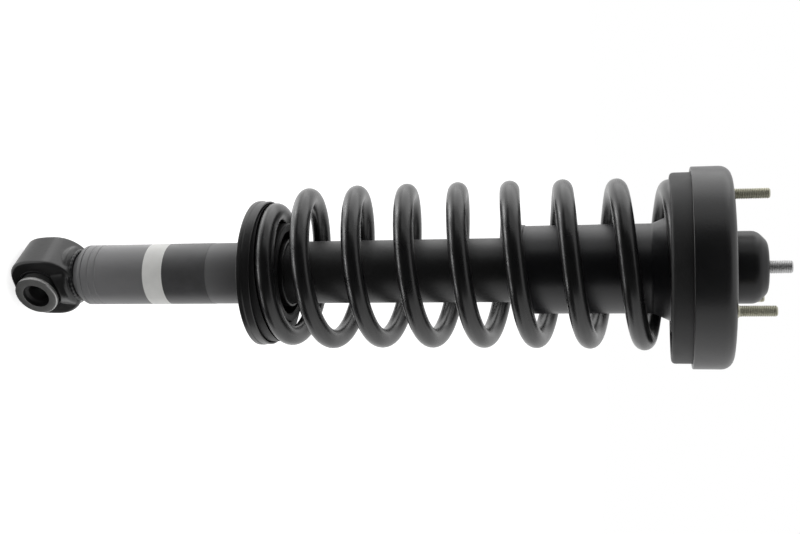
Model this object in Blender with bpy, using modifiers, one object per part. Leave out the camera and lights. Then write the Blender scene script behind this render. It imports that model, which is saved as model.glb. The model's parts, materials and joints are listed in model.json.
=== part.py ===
"""Coil-over strut assembly: upper mount, coil spring, twin-tube damper and lower eye bushing.

Units are metres. +Z runs along the damper to the upper mount, and the origin is the centre
of the mount's top face, which bolts up against the body. The lower eye's bore runs along Y.
The strut stands at full extension, with the rebound stop up against the rod guide.
"""
import bmesh
import bpy
import math

# ---------------------------------------------------------------- fits and fineness
FIT = 0.0003                      # air left between two pieces that touch
RUNNING_FIT = 0.0006              # air round a piece that slides or turns
GROOVE_FIT = 0.0008               # air round the wire in a rubber groove
STEPS_LARGE = 36                  # facets round a large turned piece
STEPS_MEDIUM = 24
STEPS_SMALL = 16
ARC_FINENESS = 0.0010             # a corner of this radius takes one flat, larger ones more
FILLET_SHARE = 0.45               # most of a side that one rounded corner may take
WELD = 0.00001                    # points closer than this are joined
PLAIN_EDGE = 0.0010               # chamfer on turned pieces that can't be seen
SOFT_EDGE = 0.0030                # corner of pressed and moulded pieces

# ---------------------------------------------------------------- upper mount
HOUSING_MARGIN = 0.0110           # from the spring's outside to the housing's
HOUSING_DEPTH = 0.0300
HOUSING_THICKNESS = 0.0035
HOUSING_SHOULDER = 0.0090
HOUSING_HOLE_RADIUS = 0.0170
HOUSING_RECESS = 0.0012           # depth of the pressed centre that the dome stands in
RECESS_CLEARANCE = 0.0015         # from the dome out to the recess's wall
STUD_COUNT = 3
STUD_INSET = 0.0215               # from the housing's outside in to the stud circle
STUD_FIRST_ANGLE = math.radians(146.0)
STUD_RADIUS = 0.0040
STUD_PROUD = 0.0280               # thread standing above the top face
STUD_HEAD_RADIUS = 0.0085
STUD_HEAD_THICKNESS = 0.0028
STUD_CHAMFER = 0.0010
STUD_BOOT_CLEARANCE = 0.0016      # from a stud's head to the boot's flange
ISOLATOR_DEPTH = 0.0455           # from the top face to the skirt's lower edge
ISOLATOR_WEB = 0.0197             # rubber above the spring's upper end
ISOLATOR_STEP = 0.0002            # least depth of the moulded spring groove
MOUNT_RUBBER_UPPER = 0.0102
MOUNT_RUBBER_LOWER = 0.0128
MOUNT_RUBBER_UPPER_RADIUS = 0.0240
MOUNT_RUBBER_LOWER_RADIUS = 0.0300
MOUNT_SLEEVE_WALL = 0.0028
WASHER_THICKNESS = 0.0025
REBOUND_WASHER_RADIUS = 0.0220
ROD_NUT_HEIGHT = 0.0080
ROD_NUT_RADIUS = 0.0092           # across corners, halved
DOME_RADIUS = 0.0285
DOME_THICKNESS = 0.0018
DOME_CROWN_RADIUS = 0.0180
DOME_CLEARANCE = 0.0038           # air over the rod nut
DOME_FLANK = 0.0160               # height where the dome starts to lean in
DOME_CROWN_FILLET = 0.0060
DOME_FLANK_FILLET = 0.0100
ROD_PROUD = 0.0180                # rod end standing above the dome

# ---------------------------------------------------------------- rod, bump stop and boot
ROD_RADIUS = 0.0070
ROD_END_RADIUS = 0.0050
ROD_TAIL_RADIUS = 0.0045
ROD_CHAMFER = 0.0010
CUP_WALL = 0.0020
CUP_SKIRT = 0.0100
BUMP_STOP_LENGTH = 0.0640
BUMP_STOP_RADIUS = 0.0235
BUMP_STOP_WAVES = (               # share of the length down, radius, fillet
    (0.00, 0.0225, 0),
    (0.22, BUMP_STOP_RADIUS, 0.0030),
    (0.32, 0.0165, 0.0020),
    (0.46, 0.0225, 0.0040),
    (0.62, 0.0165, 0.0020),
    (0.76, 0.0200, 0.0040),
    (1.00, 0.0185, 0.0030))
BOOT_RADIUS = 0.0340
BOOT_COIL_GAP = 0.0101            # from the boot's neck out to the spring
BOOT_WALL = 0.0020
BOOT_FLARE_HEIGHT = 0.0130
BOOT_FLARE_FILLETS = (0.0050, 0.0060)
BOOT_OVERLAP = 0.0110             # boot reaching down past the damper's top
FREE_TRAVEL = 0.0650              # from the damper's top to the bump stop

# ---------------------------------------------------------------- coil spring
WIRE_RADIUS = 0.00775
COIL_RADIUS = 0.05825             # to the middle of the wire
END_COIL_RADIUS = 0.0492          # the drawn-in lower end turn
COIL_TURNS = 8.68
ACTIVE_PITCH = 0.0412
LOWER_END_PITCH = 0.0215
UPPER_END_PITCH = 0.0180
LOWER_BLEND_TURNS = 1.58
UPPER_BLEND_TURNS = 1.10
RADIUS_BLEND_TURNS = 1.10
SPRING_BOW = 0.0045               # sideways bow of the middle turns under preload
SPRING_BOW_ANGLE = math.radians(142.0)
SPRING_TAIL_ANGLE = math.radians(113.2)
POINTS_PER_TURN = 24
GROOVE_STRETCHES = 6
PLANE_ROUNDS = 4                  # rounds of homing in on a plane across the wire
LEAST_COIL_GAP = 0.0004

# ---------------------------------------------------------------- damper tube and its inside
TUBE_RADIUS = 0.0254
TUBE_WALL = 0.0020
TUBE_LENGTH = 0.3745
STRIKER_THICKNESS = 0.0020
STRIKER_SKIRT = 0.0110
STRIKER_WALL = 0.0016
STRIKER_HOLE_CLEARANCE = 0.0020
SEAL_THICKNESS = 0.0045
GUIDE_FLANGE = 0.0140
GUIDE_SPIGOT = 0.0140
CYLINDER_RADIUS = 0.0160          # inner cylinder's bore, halved
CYLINDER_WALL = 0.0015
REBOUND_STOP_THICKNESS = 0.0080
REBOUND_STOP_CLEARANCE = 0.0015
REBOUND_TO_PISTON = 0.0180
SHIM_THICKNESS = 0.0015
SHIM_RADIUS = 0.0120
PISTON_THICKNESS = 0.0180
PISTON_BAND_HEIGHT = 0.0100
PISTON_BAND_THICKNESS = 0.0011
PISTON_NUT_HEIGHT = 0.0070
PISTON_NUT_RADIUS = 0.0085
ROD_TAIL_PROUD = 0.0020
BASE_SPIGOT = 0.0080
BASE_DEPTH = 0.0100
BASE_RIM = 0.0030                 # straight part of the base below the tube
BASE_FLAT_RADIUS = 0.0190
BASE_VALVE_FLANGE = 0.0060
BASE_VALVE_SPIGOT = 0.0060

# ---------------------------------------------------------------- lower spring seat
PERCH_MARGIN = 0.00255            # from the end turn's outside to the rim's
PERCH_THICKNESS = 0.0023
PERCH_RIM_HEIGHT = 0.0090
PERCH_CORNER = 0.0040
COLLAR_HEIGHT = 0.0240
PAD_WEB = 0.0012                  # rubber under the wire's tail
PAD_PLATEAU = 0.0145              # height of the pad past the half turn that it carries
PAD_HUB_HEIGHT = 0.0220
PAD_HUB_WALL = 0.0070
PAD_HUB_CLEARANCE = 0.0007
PAD_LEAST_GROOVE = 0.0020         # groove left where the wire runs out over the rim
PAD_WRAP = math.radians(50)       # half the arc of wire that the groove takes

# ---------------------------------------------------------------- lower eye and bushing
EYE_RADIUS = 0.0245
EYE_WIDTH = 0.0450
EYE_WALL = 0.0045
EYE_NECK = 0.0075
EYE_NECK_RADIUS = 0.0190
EYE_EDGE = 0.0012
OUTER_SLEEVE_WALL = 0.0015
BOLT_BORE_RADIUS = 0.0085
INNER_SLEEVE_WALL = 0.0028
SLEEVE_LENGTH = 0.0570
SLEEVE_HEAD_RADIUS = 0.0185
SLEEVE_HEAD_THICKNESS = 0.0035
SLEEVE_EDGE = 0.0008

# ---------------------------------------------------------------- heights worked out, top to bottom
PLATE_UNDERSIDE = -HOUSING_THICKNESS
CENTRE_TOP = -HOUSING_RECESS
CENTRE_UNDERSIDE = CENTRE_TOP - HOUSING_THICKNESS
RUBBER_TOP = CENTRE_TOP + FIT + MOUNT_RUBBER_UPPER
RUBBER_BOTTOM = CENTRE_UNDERSIDE - FIT - MOUNT_RUBBER_LOWER
REBOUND_WASHER_BOTTOM = RUBBER_TOP + FIT
ROD_NUT_BOTTOM = REBOUND_WASHER_BOTTOM + WASHER_THICKNESS + FIT
DOME_TOP = ROD_NUT_BOTTOM + ROD_NUT_HEIGHT + DOME_CLEARANCE + DOME_THICKNESS
ROD_TIP = DOME_TOP + ROD_PROUD
CUP_TOP = RUBBER_BOTTOM - FIT
ROD_SHOULDER = CUP_TOP - CUP_WALL - FIT
BUMP_STOP_BOTTOM = ROD_SHOULDER - BUMP_STOP_LENGTH
DAMPER_TOP = BUMP_STOP_BOTTOM - FREE_TRAVEL
BOOT_BOTTOM = DAMPER_TOP - BOOT_OVERLAP
TUBE_TOP = DAMPER_TOP - STRIKER_THICKNESS - FIT
TUBE_BOTTOM = TUBE_TOP - TUBE_LENGTH
SEAL_TOP = TUBE_TOP - FIT
GUIDE_TOP = SEAL_TOP - SEAL_THICKNESS - FIT
CYLINDER_TOP = GUIDE_TOP - GUIDE_FLANGE - FIT
GUIDE_BOTTOM = GUIDE_TOP - GUIDE_FLANGE - GUIDE_SPIGOT
REBOUND_STOP_TOP = GUIDE_BOTTOM - FIT
ROD_TAIL_SHOULDER = REBOUND_STOP_TOP - REBOUND_STOP_THICKNESS - REBOUND_TO_PISTON
SHIM_TOP = ROD_TAIL_SHOULDER - FIT
PISTON_TOP = SHIM_TOP - SHIM_THICKNESS - FIT
PISTON_NUT_TOP = PISTON_TOP - PISTON_THICKNESS - FIT
ROD_BOTTOM = PISTON_NUT_TOP - PISTON_NUT_HEIGHT - ROD_TAIL_PROUD
BASE_TOP = TUBE_BOTTOM + BASE_SPIGOT
BASE_SEAT = TUBE_BOTTOM - FIT
BASE_BOTTOM = BASE_SEAT - BASE_DEPTH
BASE_VALVE_BOTTOM = BASE_TOP + FIT
CYLINDER_BOTTOM = BASE_VALVE_BOTTOM + BASE_VALVE_FLANGE + FIT
EYE_CENTRE = BASE_BOTTOM - FIT - EYE_NECK - EYE_RADIUS

# ---------------------------------------------------------------- radii worked out
HOUSING_RADIUS = COIL_RADIUS + WIRE_RADIUS + HOUSING_MARGIN
STUD_CIRCLE_RADIUS = HOUSING_RADIUS - STUD_INSET
ISOLATOR_RADIUS = HOUSING_RADIUS - HOUSING_THICKNESS - 2 * FIT
BOOT_NECK_RADIUS = COIL_RADIUS - WIRE_RADIUS - BOOT_COIL_GAP
BOOT_FLANGE_RADIUS = STUD_CIRCLE_RADIUS - STUD_HEAD_RADIUS - STUD_BOOT_CLEARANCE
PERCH_RADIUS = END_COIL_RADIUS + WIRE_RADIUS + PERCH_MARGIN
CUP_RADIUS = BUMP_STOP_RADIUS + FIT + CUP_WALL
TUBE_BORE = TUBE_RADIUS - TUBE_WALL
PISTON_RADIUS = CYLINDER_RADIUS - RUNNING_FIT
EYE_BORE = EYE_RADIUS - EYE_WALL
OUTER_SLEEVE_RADIUS = EYE_BORE - FIT
BUSHING_RUBBER_RADIUS = OUTER_SLEEVE_RADIUS - OUTER_SLEEVE_WALL - FIT
INNER_SLEEVE_RADIUS = BOLT_BORE_RADIUS + INNER_SLEEVE_WALL

# ---------------------------------------------------------------- colours
BLACK_PAINT = (0.018, 0.018, 0.020, 1.0)
GREY_PAINT = (0.110, 0.110, 0.115, 1.0)
BLACK_RUBBER = (0.012, 0.012, 0.013, 1.0)
BARE_STEEL = (0.420, 0.420, 0.410, 1.0)
DARK_STEEL = (0.060, 0.060, 0.062, 1.0)
OLIVE_ZINC = (0.300, 0.290, 0.190, 1.0)
HARD_CHROME = (0.600, 0.600, 0.610, 1.0)
FOAM_YELLOW = (0.480, 0.380, 0.150, 1.0)
BLACK_PLASTIC = (0.015, 0.015, 0.017, 1.0)
SINTERED_IRON = (0.160, 0.155, 0.150, 1.0)


def new_collection(name):
    """Make a collection under the scene."""
    collection = bpy.data.collections.new(name)
    bpy.context.scene.collection.children.link(collection)
    return collection


def make_material(name, colour, roughness, metallic):
    """Make a plain Principled BSDF material."""
    material = bpy.data.materials.new(name)
    material.use_nodes = True
    shader = material.node_tree.nodes["Principled BSDF"]
    shader.inputs["Base Color"].default_value = colour
    shader.inputs["Roughness"].default_value = roughness
    shader.inputs["Metallic"].default_value = metallic
    return material


def place(obj, collection, finish):
    """Link an object, give it its own material and shade it smooth up to sharp edges."""
    collection.objects.link(obj)
    obj.data.materials.append(make_material(obj.name + "_finish", *finish))
    if obj.type == "MESH":
        obj.data.shade_smooth()
    return obj


def filleted(corners, closed):
    """Turn corners (radius, height, fillet) into profile points with rounded corners."""
    points = []
    count = len(corners)
    for index, (x, y, fillet) in enumerate(corners):
        at_end = not closed and index in (0, count - 1)
        if fillet <= 0 or at_end:
            points.append((x, y))
            continue
        before = corners[index - 1]
        after = corners[(index + 1) % count]
        to_before = (before[0] - x, before[1] - y)
        to_after = (after[0] - x, after[1] - y)
        length_before = math.hypot(*to_before)
        length_after = math.hypot(*to_after)
        unit_before = (to_before[0] / length_before, to_before[1] / length_before)
        unit_after = (to_after[0] / length_after, to_after[1] / length_after)
        cosine = unit_before[0] * unit_after[0] + unit_before[1] * unit_after[1]
        half_angle = 0.5 * math.acos(max(-1.0, min(1.0, cosine)))
        reach = min(fillet / math.tan(half_angle), FILLET_SHARE * length_before,
                    FILLET_SHARE * length_after)
        radius = reach * math.tan(half_angle)
        middle = (unit_before[0] + unit_after[0], unit_before[1] + unit_after[1])
        middle_length = math.hypot(*middle)
        distance = radius / math.sin(half_angle)
        centre_x = x + middle[0] / middle_length * distance
        centre_y = y + middle[1] / middle_length * distance
        start = math.atan2(y + unit_before[1] * reach - centre_y, x + unit_before[0] * reach - centre_x)
        end = math.atan2(y + unit_after[1] * reach - centre_y, x + unit_after[0] * reach - centre_x)
        sweep = (end - start + math.pi) % (2 * math.pi) - math.pi
        steps = max(1, round(math.sqrt(fillet / ARC_FINENESS)))
        for step in range(steps + 1):
            angle = start + sweep * step / steps
            points.append((centre_x + radius * math.cos(angle), centre_y + radius * math.sin(angle)))
    return points


def add_screw(obj, steps):
    """Turn the profile once round the object's Z axis."""
    screw = obj.modifiers.new("turn", "SCREW")
    screw.angle = 2 * math.pi
    screw.steps = steps
    screw.render_steps = steps
    screw.use_merge_vertices = True
    screw.merge_threshold = WELD


def profile_object(name, points, closed):
    """Make a mesh of edges along the profile points (radius, height)."""
    mesh = bpy.data.meshes.new(name)
    edges = [(index, index + 1) for index in range(len(points) - 1)]
    if closed:
        edges.append((len(points) - 1, 0))
    mesh.from_pydata([(x, 0.0, z) for x, z in points], edges, [])
    return bpy.data.objects.new(name, mesh)


def turned_solid(name, corners, steps, collection, finish, closed=True):
    """Turn a closed profile, or an open one that starts and ends on the axis."""
    obj = profile_object(name, filleted(corners, closed), closed)
    add_screw(obj, steps)
    return place(obj, collection, finish)


def turned_shell(name, corners, thickness, steps, collection, finish):
    """Turn an open outer surface and thicken it inwards."""
    obj = profile_object(name, filleted(corners, False), False)
    add_screw(obj, steps)
    shell = obj.modifiers.new("wall", "SOLIDIFY")
    shell.thickness = thickness
    shell.offset = -1.0
    shell.use_even_offset = True
    return place(obj, collection, finish)


def turned_ring(name, inner, outer, bottom, top, edge, steps, collection, finish):
    """Turn a plain ring with lightly rounded outer edges."""
    corners = [(outer, top, edge), (outer, bottom, edge), (inner, bottom, 0), (inner, top, 0)]
    return turned_solid(name, corners, steps, collection, finish)


def cylinder_cutter(name, radius, length, centre, collection, along_y=False):
    """Make a hidden cylinder that cuts holes."""
    mesh = bpy.data.meshes.new(name)
    work = bmesh.new()
    bmesh.ops.create_cone(work, cap_ends=True, segments=STEPS_MEDIUM, radius1=radius, radius2=radius,
                          depth=length)
    work.to_mesh(mesh)
    work.free()
    cutter = bpy.data.objects.new(name, mesh)
    cutter.location = centre
    if along_y:
        cutter.rotation_euler = (math.pi / 2, 0.0, 0.0)
    cutter.hide_render = True
    cutter.display_type = "WIRE"
    collection.objects.link(cutter)
    return cutter


def cut(obj, cutter, operation="DIFFERENCE"):
    """Add an exact Boolean to an object."""
    boolean = obj.modifiers.new(operation.lower(), "BOOLEAN")
    boolean.operation = operation
    boolean.solver = "EXACT"
    boolean.object = cutter


def hex_nut(name, corner_radius, bore, bottom, height, collection, finish):
    """Extrude a hexagon with a round hole."""
    curve = bpy.data.curves.new(name, "CURVE")
    curve.dimensions = "2D"
    curve.fill_mode = "BOTH"
    curve.extrude = height / 2
    for radius, sides in ((corner_radius, 6), (bore, STEPS_SMALL)):
        spline = curve.splines.new("POLY")
        spline.points.add(sides - 1)
        for index in range(sides):
            angle = 2 * math.pi * index / sides
            spline.points[index].co = (radius * math.cos(angle), radius * math.sin(angle), 0.0, 1.0)
        spline.use_cyclic_u = True
    obj = bpy.data.objects.new(name, curve)
    obj.location = (0.0, 0.0, bottom + height / 2)
    weld = obj.modifiers.new("weld", "WELD")
    weld.merge_threshold = WELD
    return place(obj, collection, finish)


def smoothstep(value):
    """Rise smoothly from 0 to 1."""
    value = max(0.0, min(1.0, value))
    return value * value * (3 - 2 * value)


def smoothstep_area(value):
    """Area under smoothstep from 0 up to the value."""
    if value <= 0:
        return 0.0
    if value >= 1:
        return 0.5 + (value - 1)
    return value ** 3 - 0.5 * value ** 4


def coil_rise(turns):
    """Height of the wire over its tail, with closer pitches at the two ends."""
    lower = smoothstep_area(turns / LOWER_BLEND_TURNS)
    upper = smoothstep_area((turns - COIL_TURNS + UPPER_BLEND_TURNS) / UPPER_BLEND_TURNS)
    rise = LOWER_END_PITCH * turns
    rise += (ACTIVE_PITCH - LOWER_END_PITCH) * LOWER_BLEND_TURNS * lower
    rise -= (ACTIVE_PITCH - UPPER_END_PITCH) * UPPER_BLEND_TURNS * upper
    return rise


WIRE_TOP_Z = PLATE_UNDERSIDE - FIT - ISOLATOR_WEB - GROOVE_FIT - WIRE_RADIUS
WIRE_TAIL_Z = WIRE_TOP_Z - coil_rise(COIL_TURNS)
PAD_BOTTOM = WIRE_TAIL_Z - WIRE_RADIUS - GROOVE_FIT - PAD_WEB
PERCH_FLOOR = PAD_BOTTOM - FIT
PERCH_BOTTOM = PERCH_FLOOR - PERCH_THICKNESS


def wire_point(turns):
    """Middle of the wire after so many turns from its tail at the lower seat."""
    inside = max(0.0, min(COIL_TURNS, turns))
    angle = SPRING_TAIL_ANGLE + 2 * math.pi * turns
    radius = END_COIL_RADIUS
    radius += (COIL_RADIUS - END_COIL_RADIUS) * smoothstep(inside / RADIUS_BLEND_TURNS)
    bow = SPRING_BOW * (1 - (2 * inside / COIL_TURNS - 1) ** 4)
    x = radius * math.cos(angle) + bow * math.cos(SPRING_BOW_ANGLE)
    y = radius * math.sin(angle) + bow * math.sin(SPRING_BOW_ANGLE)
    return (x, y, WIRE_TAIL_Z + coil_rise(inside))


WIRE_STRETCHES = round(COIL_TURNS * POINTS_PER_TURN)


def wire_points():
    """All the points of the spring's middle line."""
    return [wire_point(COIL_TURNS * index / WIRE_STRETCHES) for index in range(WIRE_STRETCHES + 1)]


def least_gap(points, radius):
    """Least air between stretches of the wire that lie at least half a turn apart."""
    least = 1.0
    apart = POINTS_PER_TURN // 2
    for first in range(len(points) - apart):
        for second in range(first + apart, len(points)):
            least = min(least, math.dist(points[first], points[second]) - 2 * radius)
    return least


def coil_spring(collection, finish):
    """Wind the spring as one unbroken round wire."""
    points = wire_points()
    gap = least_gap(points, WIRE_RADIUS)
    print("coil spring: least gap to itself %.2f mm" % (gap * 1000))
    if gap < LEAST_COIL_GAP:
        print("coil spring: its turns touch")
    curve = bpy.data.curves.new("coil_spring", "CURVE")
    curve.dimensions = "3D"
    curve.bevel_depth = WIRE_RADIUS
    curve.bevel_resolution = 1
    curve.use_fill_caps = True
    spline = curve.splines.new("POLY")
    spline.points.add(len(points) - 1)
    for index, point in enumerate(points):
        spline.points[index].co = (*point, 1.0)
    spring = bpy.data.objects.new("coil_spring", curve)
    weld = spring.modifiers.new("weld", "WELD")
    weld.merge_threshold = WELD
    return place(spring, collection, finish)


def loft_ring(name, sections, collection, finish):
    """Join closed sections, each a list of points, round the axis into one ring."""
    work = bmesh.new()
    rings = [[work.verts.new(point) for point in section] for section in sections]
    sides = len(rings[0])
    for index, ring in enumerate(rings):
        following = rings[(index + 1) % len(rings)]
        for side in range(sides):
            after = (side + 1) % sides
            work.faces.new((ring[side], following[side], following[after], ring[after]))
    bmesh.ops.recalc_face_normals(work, faces=work.faces[:])
    mesh = bpy.data.meshes.new(name)
    work.to_mesh(mesh)
    work.free()
    return place(bpy.data.objects.new(name, mesh), collection, finish)


def groove_offsets(low, high):
    """Places across the wire's middle, from low to high, closer together towards the ends."""
    middle = 0.5 * (low + high)
    half = 0.5 * (high - low)
    steps = [math.pi * step / GROOVE_STRETCHES for step in range(GROOVE_STRETCHES + 1)]
    return [middle - half * math.cos(step) for step in steps]


def at_angle(profile, angle):
    """Stand profile points (radius, height) up at an angle round the axis."""
    return [(radius * math.cos(angle), radius * math.sin(angle), height) for radius, height in profile]


def wire_on_stretch(turns):
    """Point on the wire's straight stretches after so many turns."""
    along = turns / COIL_TURNS * WIRE_STRETCHES
    index = min(int(along), WIRE_STRETCHES - 1)
    start = wire_point(COIL_TURNS * index / WIRE_STRETCHES)
    end = wire_point(COIL_TURNS * (index + 1) / WIRE_STRETCHES)
    return [a + (b - a) * (along - index) for a, b in zip(start, end)]


def wire_in_plane(turns):
    """Radius and height where the bowed wire crosses the half plane at this turn."""
    angle = SPRING_TAIL_ANGLE + 2 * math.pi * turns
    along = turns
    for _ in range(PLANE_ROUNDS):
        along = max(0.0, min(COIL_TURNS, along))
        x, y, z = wire_on_stretch(along)
        turned_past = (math.atan2(y, x) - angle + math.pi) % (2 * math.pi) - math.pi
        along -= turned_past / (2 * math.pi)
    return math.hypot(x, y), z


def corner_planes(first):
    """Half planes, in turns, through the wire's corners over one turn from the first."""
    last = first + 1 - FIT / (2 * math.pi * COIL_RADIUS)
    planes = [first]
    for index in range(WIRE_STRETCHES + 1):
        turns = COIL_TURNS * index / WIRE_STRETCHES
        x, y, _ = wire_point(turns)
        ahead = math.atan2(y, x) - SPRING_TAIL_ANGLE - 2 * math.pi * turns
        plane = turns + ((ahead + math.pi) % (2 * math.pi) - math.pi) / (2 * math.pi)
        if first < plane < last:
            planes.append(plane)
    return planes + [last]


def helical_sections(first, profile_at):
    """Stand a profile in each plane through a corner of the wire, with a step where the turn closes."""
    return [at_angle(profile_at(plane), SPRING_TAIL_ANGLE + 2 * math.pi * plane)
            for plane in corner_planes(first)]


def end_air(radius):
    """Turns that a pad's step keeps from the wire's flat end, which leans by half a stretch."""
    return (GROOVE_FIT + WIRE_RADIUS * math.sin(math.pi / POINTS_PER_TURN)) / (2 * math.pi * radius)


def lower_spring_pad(collection, finish):
    """Rubber pad: a helical groove carries the end turn, whose tail butts on the step."""
    clear = WIRE_RADIUS + GROOVE_FIT
    reach = clear * math.sin(PAD_WRAP)
    hub_outer = END_COIL_RADIUS - WIRE_RADIUS - PAD_HUB_CLEARANCE
    hub_inner = hub_outer - PAD_HUB_WALL
    rim_radius = PERCH_RADIUS - PERCH_THICKNESS - FIT
    plateau = PAD_BOTTOM + PAD_PLATEAU
    hub_top = PAD_BOTTOM + PAD_HUB_HEIGHT
    corner = PERCH_CORNER - PERCH_THICKNESS + FIT

    def profile(turns):
        radius, height = wire_in_plane(turns)
        high = min(reach, rim_radius - FIT - radius)
        low = min(max(-reach, hub_outer + FIT - radius), high - PAD_LEAST_GROOVE)
        groove = []
        for offset in groove_offsets(low, high):
            drop = math.sqrt(max(0.0, clear ** 2 - offset ** 2))
            groove.append((radius + offset, min(plateau, height - drop)))
        points = [(hub_inner, hub_top), (hub_outer, hub_top), (hub_outer, groove[0][1])]
        points += groove
        points += [(rim_radius, groove[-1][1]), (rim_radius, PAD_BOTTOM + corner)]
        points += [(rim_radius - corner, PAD_BOTTOM), (hub_inner, PAD_BOTTOM)]
        return points

    first = -end_air(END_COIL_RADIUS)
    return loft_ring("lower_spring_pad", helical_sections(first, profile), collection, finish)


def upper_spring_isolator(collection, cutters, finish):
    """Rubber ring in the housing: its helical groove takes the spring's upper end turn."""
    clear = WIRE_RADIUS + GROOVE_FIT
    top = PLATE_UNDERSIDE - FIT
    rebate = top - BOOT_WALL - FIT
    facet = math.cos(math.pi / POINTS_PER_TURN)
    rebate_radius = (BOOT_FLANGE_RADIUS + FIT) / facet
    inner = (BOOT_NECK_RADIUS + FIT) / facet
    skirt = -ISOLATOR_DEPTH
    least = skirt + ISOLATOR_STEP
    shoulder = HOUSING_SHOULDER - HOUSING_THICKNESS + FIT

    def profile(turns):
        radius, height = wire_in_plane(turns)
        points = [(inner, rebate), (inner, skirt)]
        points.append((radius - clear, skirt))
        for offset in groove_offsets(-clear, clear):
            points.append((radius + offset, max(least, height + math.sqrt(clear ** 2 - offset ** 2))))
        points += [(radius + clear, skirt), (ISOLATOR_RADIUS, skirt), (ISOLATOR_RADIUS, top - shoulder)]
        points += [(ISOLATOR_RADIUS - shoulder, top), (rebate_radius, top), (rebate_radius, rebate)]
        return points

    first = COIL_TURNS - 1 + end_air(COIL_RADIUS)
    isolator = loft_ring("upper_spring_isolator", helical_sections(first, profile), collection, finish)
    for index in range(STUD_COUNT):
        x, y = stud_place(index)
        depth = STUD_HEAD_THICKNESS + 3 * FIT
        cutter = cylinder_cutter("cut_stud_pocket_%d" % (index + 1), STUD_HEAD_RADIUS + 2 * FIT, 2 * depth,
                                 (x, y, top), cutters)
        cut(isolator, cutter)
    return isolator


def stud_place(index):
    """Where a stud stands on its circle."""
    angle = STUD_FIRST_ANGLE + 2 * math.pi * index / STUD_COUNT
    return STUD_CIRCLE_RADIUS * math.cos(angle), STUD_CIRCLE_RADIUS * math.sin(angle)


def mount_housing(collection, cutters, finish):
    """Pressed steel cup with a rounded shoulder, a middle hole and three stud holes."""
    recess_radius = DOME_RADIUS + RECESS_CLEARANCE
    corners = [(HOUSING_HOLE_RADIUS, CENTRE_TOP, 0), (recess_radius, CENTRE_TOP, 0),
               (recess_radius + HOUSING_RECESS, 0.0, 0), (HOUSING_RADIUS, 0.0, HOUSING_SHOULDER),
               (HOUSING_RADIUS, -HOUSING_DEPTH, 0)]
    housing = turned_shell("mount_housing", corners, HOUSING_THICKNESS, STEPS_LARGE, collection, finish)
    for index in range(STUD_COUNT):
        x, y = stud_place(index)
        cutter = cylinder_cutter("cut_stud_hole_%d" % (index + 1), STUD_RADIUS + FIT, 4 * HOUSING_THICKNESS,
                                 (x, y, 0.0), cutters)
        cut(housing, cutter)
    return housing


def studs(collection, finish):
    """Headed studs pressed up through the housing."""
    head_top = PLATE_UNDERSIDE - FIT
    for index in range(STUD_COUNT):
        x, y = stud_place(index)
        corners = [(0.0, STUD_PROUD, 0), (STUD_RADIUS - STUD_CHAMFER, STUD_PROUD, 0),
                   (STUD_RADIUS, STUD_PROUD - STUD_CHAMFER, 0), (STUD_RADIUS, head_top, 0),
                   (STUD_HEAD_RADIUS, head_top, 0),
                   (STUD_HEAD_RADIUS, head_top - STUD_HEAD_THICKNESS, 0),
                   (0.0, head_top - STUD_HEAD_THICKNESS, 0)]
        stud = turned_solid("stud_%d" % (index + 1), corners, STEPS_SMALL, collection, finish, closed=False)
        stud.location = (x, y, 0.0)


def mount_centre(collection):
    """Rubber block, sleeve, washer, nut and dome round the rod's upper end."""
    bore = ROD_END_RADIUS + FIT
    sleeve_radius = bore + MOUNT_SLEEVE_WALL
    waist = HOUSING_HOLE_RADIUS - FIT
    seat = CENTRE_TOP + FIT
    roof = CENTRE_UNDERSIDE - FIT
    rubber = [(MOUNT_RUBBER_UPPER_RADIUS, RUBBER_TOP, SOFT_EDGE), (MOUNT_RUBBER_UPPER_RADIUS, seat, 0),
              (waist, seat, 0), (waist, roof, 0), (MOUNT_RUBBER_LOWER_RADIUS, roof, 0),
              (MOUNT_RUBBER_LOWER_RADIUS, RUBBER_BOTTOM, SOFT_EDGE),
              (sleeve_radius + FIT, RUBBER_BOTTOM, 0), (sleeve_radius + FIT, RUBBER_TOP, 0)]
    turned_solid("mount_rubber", rubber, STEPS_MEDIUM, collection, (BLACK_RUBBER, 0.8, 0.0))
    turned_ring("mount_inner_sleeve", bore, sleeve_radius, RUBBER_BOTTOM, RUBBER_TOP, 0, STEPS_SMALL,
                collection, (BARE_STEEL, 0.4, 1.0))
    turned_ring("rebound_washer", bore, REBOUND_WASHER_RADIUS, REBOUND_WASHER_BOTTOM,
                REBOUND_WASHER_BOTTOM + WASHER_THICKNESS, 0, STEPS_MEDIUM, collection,
                (OLIVE_ZINC, 0.4, 1.0))
    hex_nut("rod_nut", ROD_NUT_RADIUS, bore, ROD_NUT_BOTTOM, ROD_NUT_HEIGHT, collection,
            (OLIVE_ZINC, 0.4, 1.0))
    dome = [(ROD_END_RADIUS + RUNNING_FIT, DOME_TOP, 0), (DOME_CROWN_RADIUS, DOME_TOP, DOME_CROWN_FILLET),
            (DOME_RADIUS, DOME_FLANK, DOME_FLANK_FILLET), (DOME_RADIUS, seat, 0)]
    turned_shell("dome_cap", dome, DOME_THICKNESS, STEPS_MEDIUM, collection, (DARK_STEEL, 0.5, 0.4))


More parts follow.
